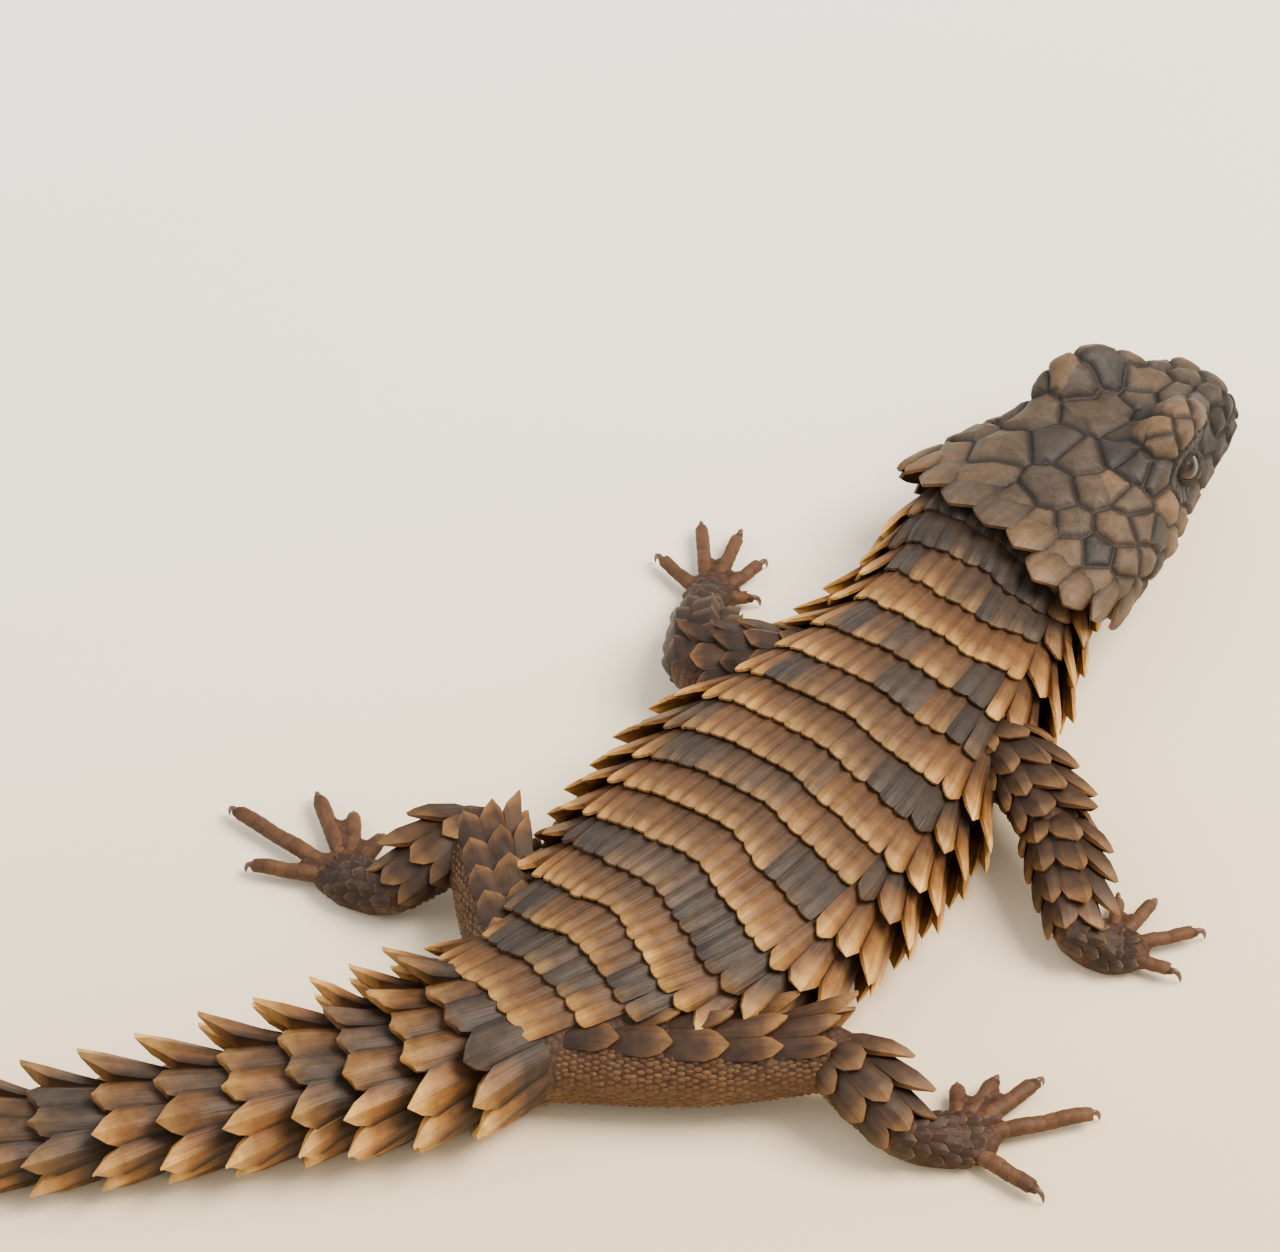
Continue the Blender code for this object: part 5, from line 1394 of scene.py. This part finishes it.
def boneyPlate(name):
    # Head shields: keratin over bone, finely pitted, dull with a slight sheen on the crowns.
    # The pits are 0.4 mm across and the blotches 2.4 mm.
    material, tree, shader = newMaterial(name, 0.55, Specular_IOR_Level=0.22)
    place = addNode(tree, "ShaderNodeTexCoord").outputs["Object"]
    pits = addNode(tree, "ShaderNodeTexNoise", {"Scale": 2600.0, "Detail": 5.0, "Roughness": 0.65},
                   {"Vector": place})
    blotch = addNode(tree, "ShaderNodeTexNoise", {"Scale": 420.0, "Detail": 4.0, "Roughness": 0.6},
                     {"Vector": place})
    colourAndBump(tree, shader, [(pits.outputs["Fac"], 0.3, 0.7, 0.78, 1.18),
                                 (blotch.outputs["Fac"], 0.3, 0.7, 0.7, 1.22)], pits.outputs["Fac"], 0.5, 0.00012)
    return material


def plainHorn(name, colour, roughness):
    # Claw horn: hard, dark and slightly polished at the point, with a grain 0.7 mm across
    material, tree, shader = newMaterial(name, roughness, Specular_IOR_Level=0.5)
    place = addNode(tree, "ShaderNodeTexCoord").outputs["Object"]
    grain = addNode(tree, "ShaderNodeTexNoise", {"Scale": 1500.0, "Detail": 3.0}, {"Vector": place})
    shade = addNode(tree, "ShaderNodeValToRGB", None, {"Fac": grain.outputs["Fac"]})
    for stop, share in zip(shade.color_ramp.elements, (0.6, 1.5)):
        stop.color = (*(linear(colour) * share), 1)
    tree.links.new(shade.outputs["Color"], shader.inputs["Base Color"])
    return material


def wetEye(name):
    # Eye: dark iris under a clear wet cornea
    material, tree, shader = newMaterial(name, 0.2, Specular_IOR_Level=0.3, Coat_Weight=0.2, Coat_Roughness=0.05)
    tint = addNode(tree, "ShaderNodeAttribute", {"attribute_name": "tint"})
    tree.links.new(tint.outputs["Color"], shader.inputs["Base Color"])
    return material


backHorn = hornScale("keratin_back_scales", 6.0, 0.5, 1.0, 0.17)
limbHorn = hornScale("keratin_limb_scales", 9.0, 0.55, 0.5)
torso = ["torso_front", "torso_middle", "torso_rear"]
tail = ["tail_1", "tail_2", "tail_3", "tail_4"]
limbNodes = [f"{part}_{side}" for part in ("upper_arm", "forearm", "hand", "thigh", "shin", "foot")
             for side in ("left", "right")]
for piece, material, slot, nodes in (
    (bodySkin, granularSkin("granular_skin", 1500.0, 0.62, 0.8), "body_scales", ["neck", *torso, *tail, *limbNodes]),
    (headSkin, boneyPlate("keratin_head_shields"), "head_plates", ["head", "jaw"]),
    (backScales, backHorn, "body_scales", [*torso, "neck"]), (tailScales, backHorn, "tail_scales", tail),
    (legScales, limbHorn, "limb_scales", []), (toeScales, limbHorn, "limb_scales", []),
    (headSpines, backHorn, "head_plates", ["head"]),
    (claws, plainHorn("claw_horn", "#4a3022", 0.4), "limb_scales", []),
    (eyeBalls[0], wetEye("wet_eye_right"), "eye", ["eye_right"]),
    (eyeBalls[1], wetEye("wet_eye_left"), "eye", ["eye_left"]),
):
    piece.data.materials.clear()
    piece.data.materials.append(material)
    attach(piece, "root")
    if nodes:
        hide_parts(*nodes)
print("pieces ride on the frame")


stageValues = {"floor": 6.0, "far": "#fbfbf5", "near": "#dfc698"}
bpy.ops.object.select_all(action="DESELECT")
bpy.ops.mesh.primitive_plane_add(size=stageValues["floor"])
floor = bpy.context.object
floor.name = "floor"
# Pale paper, a little warmer towards the camera
paper, tree, shader = newMaterial("pale_floor", 0.85)
place = addNode(tree, "ShaderNodeTexCoord")
reach = addNode(tree, "ShaderNodeVectorMath", {"operation": "DOT_PRODUCT", 1: (-4.6, 3.4, 0.0)},
                {0: place.outputs["Object"]})
share = addNode(tree, "ShaderNodeMapRange", {"From Min": -0.4, "From Max": 0.75}, {"Value": reach.outputs["Value"]})
shade = addNode(tree, "ShaderNodeValToRGB", None, {"Fac": share.outputs["Result"]})
for stop, colour in zip(shade.color_ramp.elements, (stageValues["near"], stageValues["far"])):
    stop.color = (*linear(colour), 1)
tree.links.new(shade.outputs["Color"], shader.inputs["Base Color"])
floor.data.materials.append(paper)

world = bpy.data.worlds.new("studio")
world.use_nodes = True
world.node_tree.nodes["Background"].inputs["Color"].default_value = (1.0, 0.98, 0.95, 1)
world.node_tree.nodes["Background"].inputs["Strength"].default_value = 1.15
bpy.context.scene.world = world
lights = {
    "key": {"place": (0.28, 0.22, 0.5), "size": 0.4, "watts": 9.0, "colour": "#fff1e0"},
    "fill": {"place": (-0.35, -0.35, 0.45), "size": 0.6, "watts": 2.0, "colour": "#f4f6ff"},
}
for name, values in lights.items():
    data = bpy.data.lights.new(name, "AREA")
    data.shape = "DISK"
    data.size = values["size"]
    data.energy = values["watts"]
    data.color = tuple(linear(values["colour"]))
    lamp = addObject(name, data)
    lamp.location = values["place"]
    lamp.rotation_euler = (-Vector(values["place"])).to_track_quat("-Z", "Y").to_euler()

shot = {"azimuth": 40.0, "elevation": 45.0, "distance": 480.0, "target": (0.0, 0.0, 8.0), "lens": 158.8}
data = bpy.data.cameras.new("photo_camera")
data.lens = shot["lens"]
data.sensor_width = 36.0
data.clip_start, data.clip_end = 0.01, 20.0
camera = addObject("photo_camera", data)
a, e = math.radians(shot["azimuth"]), math.radians(shot["elevation"])
backwards = Vector((math.sin(a) * math.cos(e), -math.cos(a) * math.cos(e), math.sin(e)))
camera.location = Vector((np.array(shot["target"]) - middle) * mm) + backwards * shot["distance"] * mm
camera.rotation_euler = (-backwards).to_track_quat("-Z", "Y").to_euler()
bpy.context.scene.camera = camera
print("floor, lights and camera")
